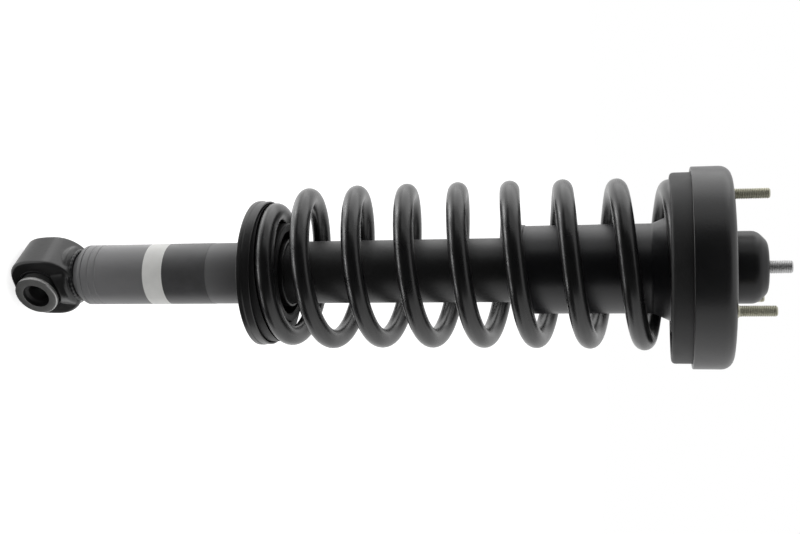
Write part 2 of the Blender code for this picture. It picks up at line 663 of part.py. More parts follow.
def bump_stop_and_boot(collection):
    """Cup, ribbed foam bump stop and dust boot under the mount."""
    cup = [(ROD_END_RADIUS + FIT, CUP_TOP, 0), (CUP_RADIUS, CUP_TOP, SOFT_EDGE),
           (CUP_RADIUS, CUP_TOP - CUP_SKIRT, 0)]
    turned_shell("bump_stop_cup", cup, CUP_WALL, STEPS_MEDIUM, collection, (DARK_STEEL, 0.5, 0.5))
    inner = ROD_RADIUS + RUNNING_FIT
    stop = [(radius, ROD_SHOULDER - share * BUMP_STOP_LENGTH, fillet)
            for share, radius, fillet in BUMP_STOP_WAVES]
    stop += [(inner, BUMP_STOP_BOTTOM, 0), (inner, ROD_SHOULDER, 0)]
    turned_solid("bump_stop", stop, STEPS_SMALL, collection, (FOAM_YELLOW, 0.9, 0.0))
    underside = PLATE_UNDERSIDE - FIT - BOOT_WALL
    flare_top = -ISOLATOR_DEPTH
    boot = [(BOOT_FLANGE_RADIUS, underside, 0), (BOOT_NECK_RADIUS, underside, 0),
            (BOOT_NECK_RADIUS, flare_top, BOOT_FLARE_FILLETS[0]),
            (BOOT_RADIUS, flare_top - BOOT_FLARE_HEIGHT, BOOT_FLARE_FILLETS[1]),
            (BOOT_RADIUS, BOOT_BOTTOM, 0)]
    turned_shell("dust_boot", boot, BOOT_WALL, STEPS_LARGE, collection, (BLACK_PLASTIC, 0.45, 0.0))


def rod_and_piston(collection):
    """Rod with its rebound stop, shims, piston, band and nut."""
    rod = [(0.0, ROD_TIP, 0), (ROD_END_RADIUS - ROD_CHAMFER, ROD_TIP, 0),
           (ROD_END_RADIUS, ROD_TIP - ROD_CHAMFER, 0), (ROD_END_RADIUS, ROD_SHOULDER, 0),
           (ROD_RADIUS, ROD_SHOULDER, 0), (ROD_RADIUS, ROD_TAIL_SHOULDER, 0),
           (ROD_TAIL_RADIUS, ROD_TAIL_SHOULDER, 0), (ROD_TAIL_RADIUS, ROD_BOTTOM, 0), (0.0, ROD_BOTTOM, 0)]
    turned_solid("piston_rod", rod, STEPS_SMALL, collection, (HARD_CHROME, 0.12, 1.0), closed=False)
    turned_ring("rebound_stop", ROD_RADIUS + FIT, CYLINDER_RADIUS - REBOUND_STOP_CLEARANCE,
                REBOUND_STOP_TOP - REBOUND_STOP_THICKNESS, REBOUND_STOP_TOP, 0, STEPS_SMALL, collection,
                (BLACK_PLASTIC, 0.6, 0.0))
    bore = ROD_TAIL_RADIUS + FIT
    turned_ring("valve_shims", bore, SHIM_RADIUS, SHIM_TOP - SHIM_THICKNESS, SHIM_TOP, 0, STEPS_SMALL,
                collection, (BARE_STEEL, 0.3, 1.0))
    bottom = PISTON_TOP - PISTON_THICKNESS
    middle = PISTON_TOP - PISTON_THICKNESS / 2
    groove = PISTON_RADIUS - PISTON_BAND_THICKNESS - FIT
    half = PISTON_BAND_HEIGHT / 2 + FIT
    piston = [(PISTON_RADIUS, PISTON_TOP, 0), (PISTON_RADIUS, middle + half, 0), (groove, middle + half, 0),
              (groove, middle - half, 0), (PISTON_RADIUS, middle - half, 0), (PISTON_RADIUS, bottom, 0),
              (bore, bottom, 0), (bore, PISTON_TOP, 0)]
    turned_solid("piston", piston, STEPS_SMALL, collection, (SINTERED_IRON, 0.6, 0.8))
    turned_ring("piston_band", groove + FIT, PISTON_RADIUS + FIT / 2, middle - PISTON_BAND_HEIGHT / 2,
                middle + PISTON_BAND_HEIGHT / 2, 0, STEPS_SMALL, collection, (BLACK_PLASTIC, 0.5, 0.0))
    hex_nut("piston_nut", PISTON_NUT_RADIUS, bore, PISTON_NUT_TOP - PISTON_NUT_HEIGHT, PISTON_NUT_HEIGHT,
            collection, (BARE_STEEL, 0.4, 1.0))


def damper_tube(collection):
    """Outer tube, inner cylinder, guide, seal, striker cap, base cap and base valve."""
    turned_ring("outer_tube", TUBE_BORE, TUBE_RADIUS, TUBE_BOTTOM, TUBE_TOP, 0, STEPS_LARGE, collection,
                (GREY_PAINT, 0.45, 0.2))
    turned_ring("inner_cylinder", CYLINDER_RADIUS, CYLINDER_RADIUS + CYLINDER_WALL, CYLINDER_BOTTOM,
                CYLINDER_TOP, 0, STEPS_SMALL, collection, (BARE_STEEL, 0.3, 1.0))
    guide_bore = ROD_RADIUS + RUNNING_FIT
    flange = TUBE_BORE - FIT
    spigot = CYLINDER_RADIUS - FIT
    seat = GUIDE_TOP - GUIDE_FLANGE
    guide = [(flange, GUIDE_TOP, PLAIN_EDGE), (flange, seat, 0), (spigot, seat, 0),
             (spigot, GUIDE_BOTTOM, PLAIN_EDGE), (guide_bore, GUIDE_BOTTOM, 0), (guide_bore, GUIDE_TOP, 0)]
    turned_solid("rod_guide", guide, STEPS_SMALL, collection, (SINTERED_IRON, 0.6, 0.8))
    turned_ring("rod_seal", guide_bore, flange, SEAL_TOP - SEAL_THICKNESS, SEAL_TOP, 0, STEPS_SMALL,
                collection, (BLACK_RUBBER, 0.7, 0.0))
    cap_radius = TUBE_RADIUS + FIT + STRIKER_WALL
    striker = [(ROD_RADIUS + STRIKER_HOLE_CLEARANCE, DAMPER_TOP, 0), (cap_radius, DAMPER_TOP, 0),
               (cap_radius, DAMPER_TOP - STRIKER_SKIRT, 0),
               (TUBE_RADIUS + FIT, DAMPER_TOP - STRIKER_SKIRT, 0),
               (TUBE_RADIUS + FIT, DAMPER_TOP - STRIKER_THICKNESS, 0),
               (ROD_RADIUS + STRIKER_HOLE_CLEARANCE, DAMPER_TOP - STRIKER_THICKNESS, 0)]
    turned_solid("striker_cap", striker, STEPS_MEDIUM, collection, (DARK_STEEL, 0.5, 0.6))
    base = [(0.0, BASE_TOP, 0), (flange, BASE_TOP, PLAIN_EDGE), (flange, BASE_SEAT, 0),
            (TUBE_RADIUS, BASE_SEAT, 0), (TUBE_RADIUS, BASE_SEAT - BASE_RIM, SOFT_EDGE),
            (BASE_FLAT_RADIUS, BASE_BOTTOM, SOFT_EDGE), (0.0, BASE_BOTTOM, 0)]
    turned_solid("base_cap", base, STEPS_LARGE, collection, (GREY_PAINT, 0.5, 0.2), closed=False)
    valve_shoulder = BASE_VALVE_BOTTOM + BASE_VALVE_FLANGE
    valve = [(0.0, valve_shoulder + BASE_VALVE_SPIGOT, 0), (spigot, valve_shoulder + BASE_VALVE_SPIGOT, 0),
             (spigot, valve_shoulder, 0), (CYLINDER_RADIUS + CYLINDER_WALL, valve_shoulder, 0),
             (CYLINDER_RADIUS + CYLINDER_WALL, BASE_VALVE_BOTTOM, 0), (0.0, BASE_VALVE_BOTTOM, 0)]
    turned_solid("base_valve", valve, STEPS_SMALL, collection, (SINTERED_IRON, 0.6, 0.8), closed=False)


def lower_spring_seat(collection, finish):
    """Pressed dish with an upturned rim and a collar that is welded round the tube."""
    collar_bore = TUBE_RADIUS + FIT
    corners = [(PERCH_RADIUS, PERCH_BOTTOM + PERCH_RIM_HEIGHT, 0), (PERCH_RADIUS, PERCH_BOTTOM, PERCH_CORNER),
               (collar_bore, PERCH_BOTTOM, PERCH_CORNER), (collar_bore, PERCH_FLOOR + COLLAR_HEIGHT, 0)]
    return turned_shell("lower_spring_seat", corners, PERCH_THICKNESS, STEPS_LARGE, collection, finish)


def lower_eye(collection, cutters, finish):
    """Ring round the bushing, joined to a short neck under the tube's base."""
    half = EYE_WIDTH / 2
    corners = [(EYE_RADIUS, half, EYE_EDGE), (EYE_RADIUS, -half, EYE_EDGE), (0.0, -half, 0)]
    corners.insert(0, (0.0, half, 0))
    eye = turned_solid("lower_eye", corners, STEPS_LARGE, collection, finish, closed=False)
    eye.location = (0.0, 0.0, EYE_CENTRE)
    eye.rotation_euler = (math.pi / 2, 0.0, 0.0)
    neck_top = BASE_BOTTOM - FIT
    neck_length = EYE_NECK + 0.5 * EYE_RADIUS
    neck = cylinder_cutter("join_eye_neck", EYE_NECK_RADIUS, neck_length,
                           (0.0, 0.0, neck_top - neck_length / 2), cutters)
    cut(eye, neck, "UNION")
    bore = cylinder_cutter("cut_eye_bore", EYE_BORE, 2 * EYE_WIDTH, (0.0, 0.0, EYE_CENTRE), cutters,
                           along_y=True)
    cut(eye, bore)
    return eye


def lay_across(obj):
    """Lay a turned piece across the strut, its axis along Y through the eye."""
    obj.location = (0.0, 0.0, EYE_CENTRE)
    obj.rotation_euler = (math.pi / 2, 0.0, 0.0)


def bushing(collection):
    """Pressed-in outer sleeve, bonded rubber and inner sleeve with upset ends."""
    half = EYE_WIDTH / 2
    outer = turned_ring("bushing_outer_sleeve", OUTER_SLEEVE_RADIUS - OUTER_SLEEVE_WALL, OUTER_SLEEVE_RADIUS,
                        -half, half, 0, STEPS_MEDIUM, collection, (DARK_STEEL, 0.5, 0.6))
    lay_across(outer)
    rubber = turned_ring("bushing_rubber", INNER_SLEEVE_RADIUS + FIT, BUSHING_RUBBER_RADIUS, -half, half,
                         0, STEPS_MEDIUM, collection, (BLACK_RUBBER, 0.8, 0.0))
    lay_across(rubber)
    end = SLEEVE_LENGTH / 2
    head = end - SLEEVE_HEAD_THICKNESS
    sleeve = [(SLEEVE_HEAD_RADIUS, end, SLEEVE_EDGE), (SLEEVE_HEAD_RADIUS, head, 0),
              (INNER_SLEEVE_RADIUS, head, 0), (INNER_SLEEVE_RADIUS, -head, 0),
              (SLEEVE_HEAD_RADIUS, -head, 0), (SLEEVE_HEAD_RADIUS, -end, SLEEVE_EDGE),
              (BOLT_BORE_RADIUS, -end, 0), (BOLT_BORE_RADIUS, end, 0)]
    inner = turned_solid("bushing_inner_sleeve", sleeve, STEPS_MEDIUM, collection, (DARK_STEEL, 0.45, 0.7))
    lay_across(inner)


def main():
    """Clear the scene and build every piece."""
    for obj in list(bpy.data.objects):
        bpy.data.objects.remove(obj, do_unlink=True)
    parts = new_collection("strut_assembly")
    cutters = new_collection("cutters")
    mount_housing(parts, cutters, (BLACK_PAINT, 0.45, 0.2))
    upper_spring_isolator(parts, cutters, (BLACK_RUBBER, 0.7, 0.0))
    studs(parts, (OLIVE_ZINC, 0.4, 1.0))
    mount_centre(parts)
    bump_stop_and_boot(parts)
    rod_and_piston(parts)
    coil_spring(parts, (BLACK_PAINT, 0.35, 0.2))
    damper_tube(parts)
    lower_spring_seat(parts, (BLACK_PAINT, 0.45, 0.2))
    lower_spring_pad(parts, (BLACK_RUBBER, 0.8, 0.0))
    lower_eye(parts, cutters, (BLACK_PAINT, 0.45, 0.3))
    bushing(parts)


main()
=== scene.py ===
"""Looks of the coil-over strut assembly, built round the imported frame.

Units are metres in the frame's own axes: +Z runs along the damper to the upper mount, and the
origin is the centre of the mount's top face. The photograph shows the strut lying across the
picture, so its "up" and "near" directions are named below and the camera and lamps follow them.
"""
import json
import math
import bmesh
import bpy
from mathutils import Matrix, Vector

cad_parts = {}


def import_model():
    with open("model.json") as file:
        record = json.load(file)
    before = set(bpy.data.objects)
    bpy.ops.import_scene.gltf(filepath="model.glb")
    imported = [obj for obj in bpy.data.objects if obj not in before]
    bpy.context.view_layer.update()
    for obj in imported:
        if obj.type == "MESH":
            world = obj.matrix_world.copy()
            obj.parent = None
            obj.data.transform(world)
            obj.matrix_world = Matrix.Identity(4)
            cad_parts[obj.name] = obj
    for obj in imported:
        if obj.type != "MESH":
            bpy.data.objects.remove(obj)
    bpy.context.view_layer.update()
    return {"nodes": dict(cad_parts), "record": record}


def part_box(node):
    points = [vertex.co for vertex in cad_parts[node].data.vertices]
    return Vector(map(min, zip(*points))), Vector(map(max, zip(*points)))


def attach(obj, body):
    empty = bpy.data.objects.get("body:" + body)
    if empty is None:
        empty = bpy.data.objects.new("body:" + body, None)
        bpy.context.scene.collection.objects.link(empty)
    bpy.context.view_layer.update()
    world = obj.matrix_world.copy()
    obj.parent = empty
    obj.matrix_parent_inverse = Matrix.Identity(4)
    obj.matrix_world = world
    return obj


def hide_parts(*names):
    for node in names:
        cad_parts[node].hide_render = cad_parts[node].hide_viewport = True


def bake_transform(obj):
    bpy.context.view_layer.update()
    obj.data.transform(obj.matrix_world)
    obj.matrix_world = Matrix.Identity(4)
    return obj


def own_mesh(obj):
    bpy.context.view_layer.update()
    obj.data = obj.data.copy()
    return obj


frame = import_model()

# ---------------------------------------------------------------- directions in the photograph
ALONG = Vector((0.0, 0.0, 1.0))
PHOTO_UP_ANGLE = math.radians(142.0)
PHOTO_UP = Vector((math.cos(PHOTO_UP_ANGLE), math.sin(PHOTO_UP_ANGLE), 0.0))
PHOTO_NEAR = ALONG.cross(PHOTO_UP)

# ---------------------------------------------------------------- camera
CAMERA_ALONG = -0.0600
CAMERA_UP = 0.0064
CAMERA_NEAR = 0.8801
CAMERA_YAW = math.radians(12.6225)
CAMERA_PITCH = math.radians(0.1883)
CAMERA_ROLL = math.radians(-0.7478)
LENS = 50.31                      # mm, on the 36 mm sensor
SENSOR = 36.0

# ---------------------------------------------------------------- light
AMBIENT = 0.55
KEY_WATTS = 9.0                   # softbox above the strut in the picture
LOW_WATTS = 2.0                   # softbox below it
CORNER_WATTS = 1.0                # at the strut's foot, higher in the picture
EDGE_WATTS = 0.04                 # gridded ones at the strut's foot
EDGE_SPREAD = math.radians(45)
FLOOR_HALF = 9.0
FLOOR_COLOUR = (0.86, 0.86, 0.86, 1.0)
FLOOR_GLOW = (0.72, 0.72, 0.72, 1.0)
WHITE = (1.0, 1.0, 1.0, 1.0)
CARD_BLACK = (0.01, 0.01, 0.01, 1.0)

# ---------------------------------------------------------------- noise in the materials
CLOUD_DETAIL = 6.0
CLOUD_ROUGHNESS = 0.6
CLOUD_FROM = 0.3                  # part of the noise that the colour's swing takes
CLOUD_TO = 0.7
SMEAR_SCALE = 4                   # roughness noise, so many times finer than the clouds
SMEAR_DETAIL = 4.0
LEAST_ROUGHNESS = 0.02
GRAIN_DETAIL = 3.0
GRAIN_HEIGHT = 0.0006

# ---------------------------------------------------------------- fineness
FINE = 128                        # facets round a large turned piece
MEDIUM = 96
SMALL = 48
ARC_STEPS = 6                     # flats in a rounded corner
ARC_REACH = 0.49                  # most of a side that one rounded corner may take
RING_SECTIONS = 144               # sections of a rubber ring with a helical groove
GROOVE_FLATS = 14                 # flats across its groove
MERGED_DISTANCE = 1e-7
SHARP_ANGLE = math.radians(38)

# ---------------------------------------------------------------- coil spring, as the frame has it
WIRE_RADIUS = 0.00775
COIL_RADIUS = 0.05825
END_COIL_RADIUS = 0.0492
COIL_TURNS = 8.68
ACTIVE_PITCH = 0.0412
LOWER_END_PITCH = 0.0215
UPPER_END_PITCH = 0.0180
LOWER_BLEND_TURNS = 1.58
UPPER_BLEND_TURNS = 1.10
RADIUS_BLEND_TURNS = 1.10
SPRING_BOW = 0.0045
SPRING_TAIL_ANGLE = math.radians(113.2)
WIRE_TAIL_Z = -0.36134
GROOVE_FIT = 0.0008
GROOVE_WRAP = math.radians(50)    # half the arc of wire that the lower groove takes
WIRE_STEPS_PER_TURN = 72
WIRE_SIDES = 28
WIRE_END_ROUNDING = 0.0012
TANGENT_STEP = 0.002              # turns to each side, for the wire's direction
PLANE_ROUNDS = 4                  # rounds of homing in on a plane across the wire
STEP_AIR = 0.0008                 # turns of air at the step that closes a rubber ring
LOWER_RING_START = -0.0059        # turns from the wire's tail
UPPER_RING_START = 0.0050         # turns from one turn before the wire's upper end

# ---------------------------------------------------------------- threads
THREAD_PITCH = 0.00125            # studs and rod
THREAD_DEPTH = 0.00065
THREAD_STEPS = 8                  # rows of points in one pitch
THREAD_ROOT = 1.15                # past 1, so that the root is a narrow flat
THREAD_SLOPE = 4.0                # leaves a crest between the flanks
THREAD_CHAMFER = 0.0011
SOCKET_DEPTH = 0.0050

# ---------------------------------------------------------------- weld beads
WELD_SIDES = 12
WELD_SWELL = 0.16                 # swing of the bead's thickness
WELD_STEPS = 6                    # steps along one ripple
WELD_SIZE = 0.0018

# ---------------------------------------------------------------- paint, painted shade and bands on the tube
PALE_BAND = (-0.4700, -0.4530)    # lower and upper height
DARK_BAND = (-0.4530, -0.4150)
TUBE_TONE_AND_SHADE = [                   # height, share of the paint's colour; its fall towards the seat is painted shade
    (-0.520, 1.0), (-0.430, 0.85), (-0.385, 0.45), (-0.372, 0.10), (-0.150, 0.07),
]


# ---------------------------------------------------------------- materials
def noise(nodes, links, place, scale, detail):
    """Noise texture in the object's own space."""
    texture = nodes.new("ShaderNodeTexNoise")
    texture.inputs["Scale"].default_value = scale
    texture.inputs["Detail"].default_value = detail
    links.new(place, texture.inputs["Vector"])
    return texture


def finish(name, colour, roughness, metallic=0.0, cloud=(22.0, 0.18), grain=(900.0, 0.05), swing=0.06,
           second=None, specular=0.5):
    """Principled material with clouded colour, uneven roughness and a fine grain.

    Cloud and grain are each a noise's scale and strength, and swing is that of the roughness.
    """
    material = bpy.data.materials.new(name)
    material.use_nodes = True
    nodes = material.node_tree.nodes
    links = material.node_tree.links
    shader = nodes["Principled BSDF"]
    shader.inputs["Metallic"].default_value = metallic
    shader.inputs["Specular IOR Level"].default_value = specular
    place = nodes.new("ShaderNodeTexCoord").outputs["Object"]
    clouds = noise(nodes, links, place, cloud[0], CLOUD_DETAIL)
    clouds.inputs["Roughness"].default_value = CLOUD_ROUGHNESS
    mix = nodes.new("ShaderNodeMix")
    mix.data_type = "RGBA"
    low = [channel * (1 - cloud[1]) for channel in colour]
    high = [channel * (1 + cloud[1]) for channel in (second or colour)]
    mix.inputs["A"].default_value = (*low, 1.0)
    mix.inputs["B"].default_value = (*high, 1.0)
    spread = nodes.new("ShaderNodeMapRange")
    spread.inputs["From Min"].default_value = CLOUD_FROM
    spread.inputs["From Max"].default_value = CLOUD_TO
    links.new(clouds.outputs["Fac"], spread.inputs["Value"])
    links.new(spread.outputs["Result"], mix.inputs["Factor"])
    links.new(mix.outputs["Result"], shader.inputs["Base Color"])
    smears = noise(nodes, links, place, cloud[0] * SMEAR_SCALE, SMEAR_DETAIL)
    rough = nodes.new("ShaderNodeMapRange")
    rough.inputs["To Min"].default_value = max(LEAST_ROUGHNESS, roughness - swing)
    rough.inputs["To Max"].default_value = min(1.0, roughness + swing)
    links.new(smears.outputs["Fac"], rough.inputs["Value"])
    links.new(rough.outputs["Result"], shader.inputs["Roughness"])
    grains = noise(nodes, links, place, grain[0], GRAIN_DETAIL)
    bump = nodes.new("ShaderNodeBump")
    bump.inputs["Strength"].default_value = grain[1]
    bump.inputs["Distance"].default_value = GRAIN_HEIGHT
    links.new(grains.outputs["Fac"], bump.inputs["Height"])
    links.new(bump.outputs["Normal"], shader.inputs["Normal"])
    return material


MATERIALS = {
    "mount_paint": finish("mount_paint", (0.0085, 0.0085, 0.0092), 0.35,
                          cloud=(16, 0.25), grain=(500, 0.10)),
    "seat_paint": finish("seat_paint", (0.0065, 0.0065, 0.0068), 0.34,
                         cloud=(20, 0.25), grain=(700, 0.08)),
    "eye_paint": finish("eye_paint", (0.0160, 0.0160, 0.0162), 0.32,
                        cloud=(30, 0.30), grain=(380, 0.12)),
    "spring_paint": finish("spring_paint", (0.0062, 0.0062, 0.0066), 0.29,
                           cloud=(24, 0.25), grain=(650, 0.09)),
    "tube_paint": finish("tube_paint", (0.165, 0.165, 0.168), 0.42,
                         cloud=(14, 0.10), grain=(800, 0.06)),
    "rubber": finish("rubber", (0.0085, 0.0085, 0.0090), 0.58,
                     cloud=(18, 0.30), grain=(1100, 0.16)),
    "pad_rubber": finish("pad_rubber", (0.0060, 0.0060, 0.0064), 0.50,
                         cloud=(18, 0.30), grain=(1100, 0.16), specular=0.3),
    "foam": finish("foam", (0.52, 0.41, 0.17), 0.90,
                   cloud=(40, 0.20), grain=(900, 0.60)),
    "black_plastic": finish("black_plastic", (0.0070, 0.0070, 0.0088), 0.37,
                            cloud=(12, 0.20), grain=(500, 0.05)),
    "zinc": finish("zinc", (0.56, 0.55, 0.45), 0.50, metallic=0.6,
                   cloud=(90, 0.16), grain=(900, 0.08), second=(0.46, 0.45, 0.35)),
    "bare_steel": finish("bare_steel", (0.54, 0.54, 0.54), 0.42, metallic=0.8,
                         cloud=(60, 0.12), grain=(900, 0.06)),
    "dark_steel": finish("dark_steel", (0.030, 0.030, 0.032), 0.44, metallic=0.5,
                         cloud=(30, 0.22), grain=(600, 0.10)),
    "hard_chrome": finish("hard_chrome", (0.70, 0.70, 0.71), 0.12, metallic=1.0,
                          cloud=(50, 0.04), grain=(1200, 0.02), swing=0.03),
    "sintered": finish("sintered", (0.20, 0.195, 0.19), 0.62, metallic=0.8,
                       cloud=(70, 0.20), grain=(1400, 0.30)),
    "weld": finish("weld", (0.010, 0.010, 0.011), 0.38,
                   cloud=(120, 0.30), grain=(700, 0.20)),
    "sleeve_steel": finish("sleeve_steel", (0.36, 0.36, 0.355), 0.44, metallic=0.8,
                           cloud=(60, 0.18), grain=(900, 0.10)),
    # Near black: painted shade for the inside of the sleeve's bore.
    "bore_painted_shade": finish("bore_painted_shade", (0.006, 0.006, 0.006), 0.60,
                         cloud=(60, 0.25), grain=(900, 0.10)),
    "dome_paint": finish("dome_paint", (0.012, 0.012, 0.013), 0.36, metallic=0.1,
                         cloud=(30, 0.20), grain=(600, 0.08), specular=0.3),
    "pale_band": finish("pale_band", (0.72, 0.72, 0.70), 0.45,
                        cloud=(60, 0.06), grain=(900, 0.02)),
    "dark_band": finish("dark_band", (0.060, 0.060, 0.062), 0.40,
                        cloud=(60, 0.15), grain=(900, 0.02)),
}


def shade_along(material, marks):
    """Let the paint's colour change along the strut; marks are (height, share of the colour)."""
    nodes = material.node_tree.nodes
    links = material.node_tree.links
    shader = nodes["Principled BSDF"]
    source = shader.inputs["Base Color"].links[0].from_socket
    place = nodes.new("ShaderNodeTexCoord").outputs["Object"]
    split = nodes.new("ShaderNodeSeparateXYZ")
    links.new(place, split.inputs["Vector"])
    span = nodes.new("ShaderNodeMapRange")
    span.inputs["From Min"].default_value = marks[0][0]
    span.inputs["From Max"].default_value = marks[-1][0]
    links.new(split.outputs["Z"], span.inputs["Value"])
    ramp = nodes.new("ShaderNodeValToRGB")
    ramp.color_ramp.interpolation = "EASE"
    while len(ramp.color_ramp.elements) < len(marks):
        ramp.color_ramp.elements.new(0.5)
    for element, (height, share) in zip(ramp.color_ramp.elements, marks):
        element.position = (height - marks[0][0]) / (marks[-1][0] - marks[0][0])
        element.color = (share, share, share, 1.0)
    links.new(span.outputs["Result"], ramp.inputs["Fac"])
    product = nodes.new("ShaderNodeMix")
    product.data_type = "RGBA"
    product.blend_type = "MULTIPLY"
    product.inputs["Factor"].default_value = 1.0
    links.new(source, product.inputs["A"])
    links.new(ramp.outputs["Color"], product.inputs["B"])
    links.new(product.outputs["Result"], shader.inputs["Base Color"])


# Painted shade: the grey paint darkens towards the spring seat, where the seat's shade falls, and above the
# seat the tube is near black, dark paint that also stands in for the shade inside the coils.
shade_along(MATERIALS["tube_paint"], TUBE_TONE_AND_SHADE)

for subpart in frame["record"]["subparts"]:
    node = frame["nodes"][subpart["node"]]
    node.data.materials.clear()
    node.data.materials.append(MATERIALS[subpart["material_slot"]])


# ---------------------------------------------------------------- mesh tools
def dress(mesh, name, body, material, replaced=()):
    """Give a mesh its object, material, smooth shading and body, and hide the CAD nodes that it stands for.
    """
    mesh.shade_smooth()
    mesh.set_sharp_from_angle(angle=SHARP_ANGLE)
    piece = bpy.data.objects.new(name, mesh)
    bpy.context.scene.collection.objects.link(piece)
    mesh.materials.append(MATERIALS[material])
    if body:
        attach(piece, body)
    if replaced:
        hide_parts(*replaced)
    return piece


def mesh_of(work, name):
    """Mesh of finished work, which is freed."""
    mesh = bpy.data.meshes.new(name)
    work.to_mesh(mesh)
    work.free()
    return mesh


def outward(work, name):
    """Mesh of finished work with its faces turned outwards."""
    bmesh.ops.recalc_face_normals(work, faces=work.faces[:])
    return mesh_of(work, name)


def rounded(corners, closed=True):
    """Turn corners (radius, height, fillet) into profile points with arcs."""
    points = []
    count = len(corners)
    for index, (x, y, fillet) in enumerate(corners):
        if fillet <= 0 or (not closed and index in (0, count - 1)):
            points.append((x, y))
            continue
        here = Vector((x, y))
        before = Vector(corners[index - 1][:2]) - here
        after = Vector(corners[(index + 1) % count][:2]) - here
        half = 0.5 * before.angle(after)
        length = min(fillet / math.tan(half), ARC_REACH * before.length, ARC_REACH * after.length)
        radius = length * math.tan(half)
        centre = here + (before.normalized() + after.normalized()).normalized() * (radius / math.sin(half))
        first = here + before.normalized() * length - centre
        last = here + after.normalized() * length - centre
        start = math.atan2(first.y, first.x)
        sweep = (math.atan2(last.y, last.x) - start + math.pi) % (2 * math.pi) - math.pi
        for step in range(ARC_STEPS + 1):
            angle = start + sweep * step / ARC_STEPS
            points.append((centre.x + radius * math.cos(angle), centre.y + radius * math.sin(angle)))
    return points


def spun(name, corners, steps=FINE, closed=True, wave=None):
    """Turn a profile round Z into a closed mesh; wave(angle, radius, height) may shift its points."""
    points = rounded(corners, closed)
    work = bmesh.new()
    rings = []
    for step in range(steps):
        angle = 2 * math.pi * step / steps
        ring = []
        for radius, height in points:
            shift = wave(angle, radius, height) if wave else (0.0, 0.0)
            wide = radius + shift[0]
            ring.append((wide * math.cos(angle), wide * math.sin(angle), height + shift[1]))
        rings.append([work.verts.new(point) for point in ring])
    sides = len(points) if closed else len(points) - 1
    for step in range(steps):
        here = rings[step]
        following = rings[(step + 1) % steps]
        for side in range(sides):
            after = (side + 1) % len(points)
            work.faces.new((here[side], following[side], following[after], here[after]))
    bmesh.ops.remove_doubles(work, verts=work.verts[:], dist=MERGED_DISTANCE)
    return outward(work, name)


def lofted(name, sections, caps=False, ring=True):
    """Join sections of points into one skin, closed round the axis or with end caps."""
    work = bmesh.new()
    rows = [[work.verts.new(point) for point in section] for section in sections]
    sides = len(rows[0])
    last = len(rows) if ring else len(rows) - 1
    for index in range(last):
        here = rows[index]
        following = rows[(index + 1) % len(rows)]
        for side in range(sides):
            after = (side + 1) % sides
            work.faces.new((here[side], following[side], following[after], here[after]))
    if caps:
        work.faces.new(rows[0])
        work.faces.new(list(reversed(rows[-1])))
    return outward(work, name)


def applied(obj):
    """Mesh of an object with its modifiers applied; the object itself is removed."""
    bpy.context.view_layer.update()
    graph = bpy.context.evaluated_depsgraph_get()
    mesh = bpy.data.meshes.new_from_object(obj.evaluated_get(graph))
    mesh.transform(obj.matrix_world)
    bpy.data.objects.remove(obj, do_unlink=True)
    return mesh


def helper(mesh, matrix=None):
    """Plain object for work that is applied later."""
    obj = bpy.data.objects.new("work", mesh)
    bpy.context.scene.collection.objects.link(obj)
    if matrix is not None:
        obj.matrix_world = matrix
    return obj


def joined(obj, other, operation):
    """Exact Boolean of two helpers; the second is removed and the first comes back as a helper."""
    modifier = obj.modifiers.new("join", "BOOLEAN")
    modifier.operation = operation
    modifier.solver = "EXACT"
    modifier.object = other
    mesh = applied(obj)
    bpy.data.objects.remove(other, do_unlink=True)
    return helper(mesh)


def lying(height):
    """Matrix that lays a turned piece along Y at a height on the strut's axis."""
    return Matrix.Translation((0.0, 0.0, height)) @ Matrix.Rotation(math.pi / 2, 4, "X")


def weld_bead(name, radius, height, ripples):
    """Rippled weld bead round the damper."""
    def ripple(angle, wide, tall):
        share = abs(math.sin(0.5 * ripples * angle))
        swell = 1 + WELD_SWELL * (share - 0.5)
        return (wide - radius) * (swell - 1), (tall - height) * (swell - 1)

    corners = []
    for step in range(WELD_SIDES):
        angle = 2 * math.pi * step / WELD_SIDES
        corners.append((radius + WELD_SIZE * math.cos(angle), height + WELD_SIZE * math.sin(angle), 0))
    dress(spun(name, corners, ripples * WELD_STEPS, wave=ripple), name, "damper_body", "weld")


# ---------------------------------------------------------------- sizes read from the frame
def reach(node):
    """Radius, lowest and highest height of a turned CAD node."""
    low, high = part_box(node)
    return high.x, low.z, high.z


HOUSING_RADIUS, HOUSING_BOTTOM, MOUNT_TOP = reach("mount_housing")
ISOLATOR_RADIUS, SKIRT_BOTTOM, ISOLATOR_TOP = reach("upper_spring_isolator")
DOME_RADIUS, DOME_BOTTOM, DOME_TOP = reach("dome_cap")
ROD_RADIUS, ROD_BOTTOM, ROD_TIP = reach("piston_rod")
BOOT_FLANGE, BOOT_BOTTOM, BOOT_TOP = reach("dust_boot")
TUBE_RADIUS, TUBE_BOTTOM, TUBE_TOP = reach("outer_tube")
SEAT_RADIUS, SEAT_BOTTOM, COLLAR_TOP = reach("lower_spring_seat")
PAD_RADIUS, PAD_BOTTOM, HUB_TOP = reach("lower_spring_pad")
_, BASE_BOTTOM, BASE_TOP = reach("base_cap")
EYE_LOW, EYE_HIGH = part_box("lower_eye")
EYE_FACE = 0.0184                 # from the middle to each of the eye's faces
EYE_CENTRE = EYE_LOW.z + EYE_HIGH.x
SLEEVE_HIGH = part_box("bushing_inner_sleeve")[1]


# ---------------------------------------------------------------- wire of the spring
def smoothstep(value):
    """Rise smoothly from 0 to 1."""
    value = max(0.0, min(1.0, value))
    return value * value * (3 - 2 * value)


def smoothstep_area(value):
    """Area under smoothstep from 0 up to the value."""
    if value <= 0:
        return 0.0
    if value >= 1:
        return 0.5 + (value - 1)
    return value ** 3 - 0.5 * value ** 4


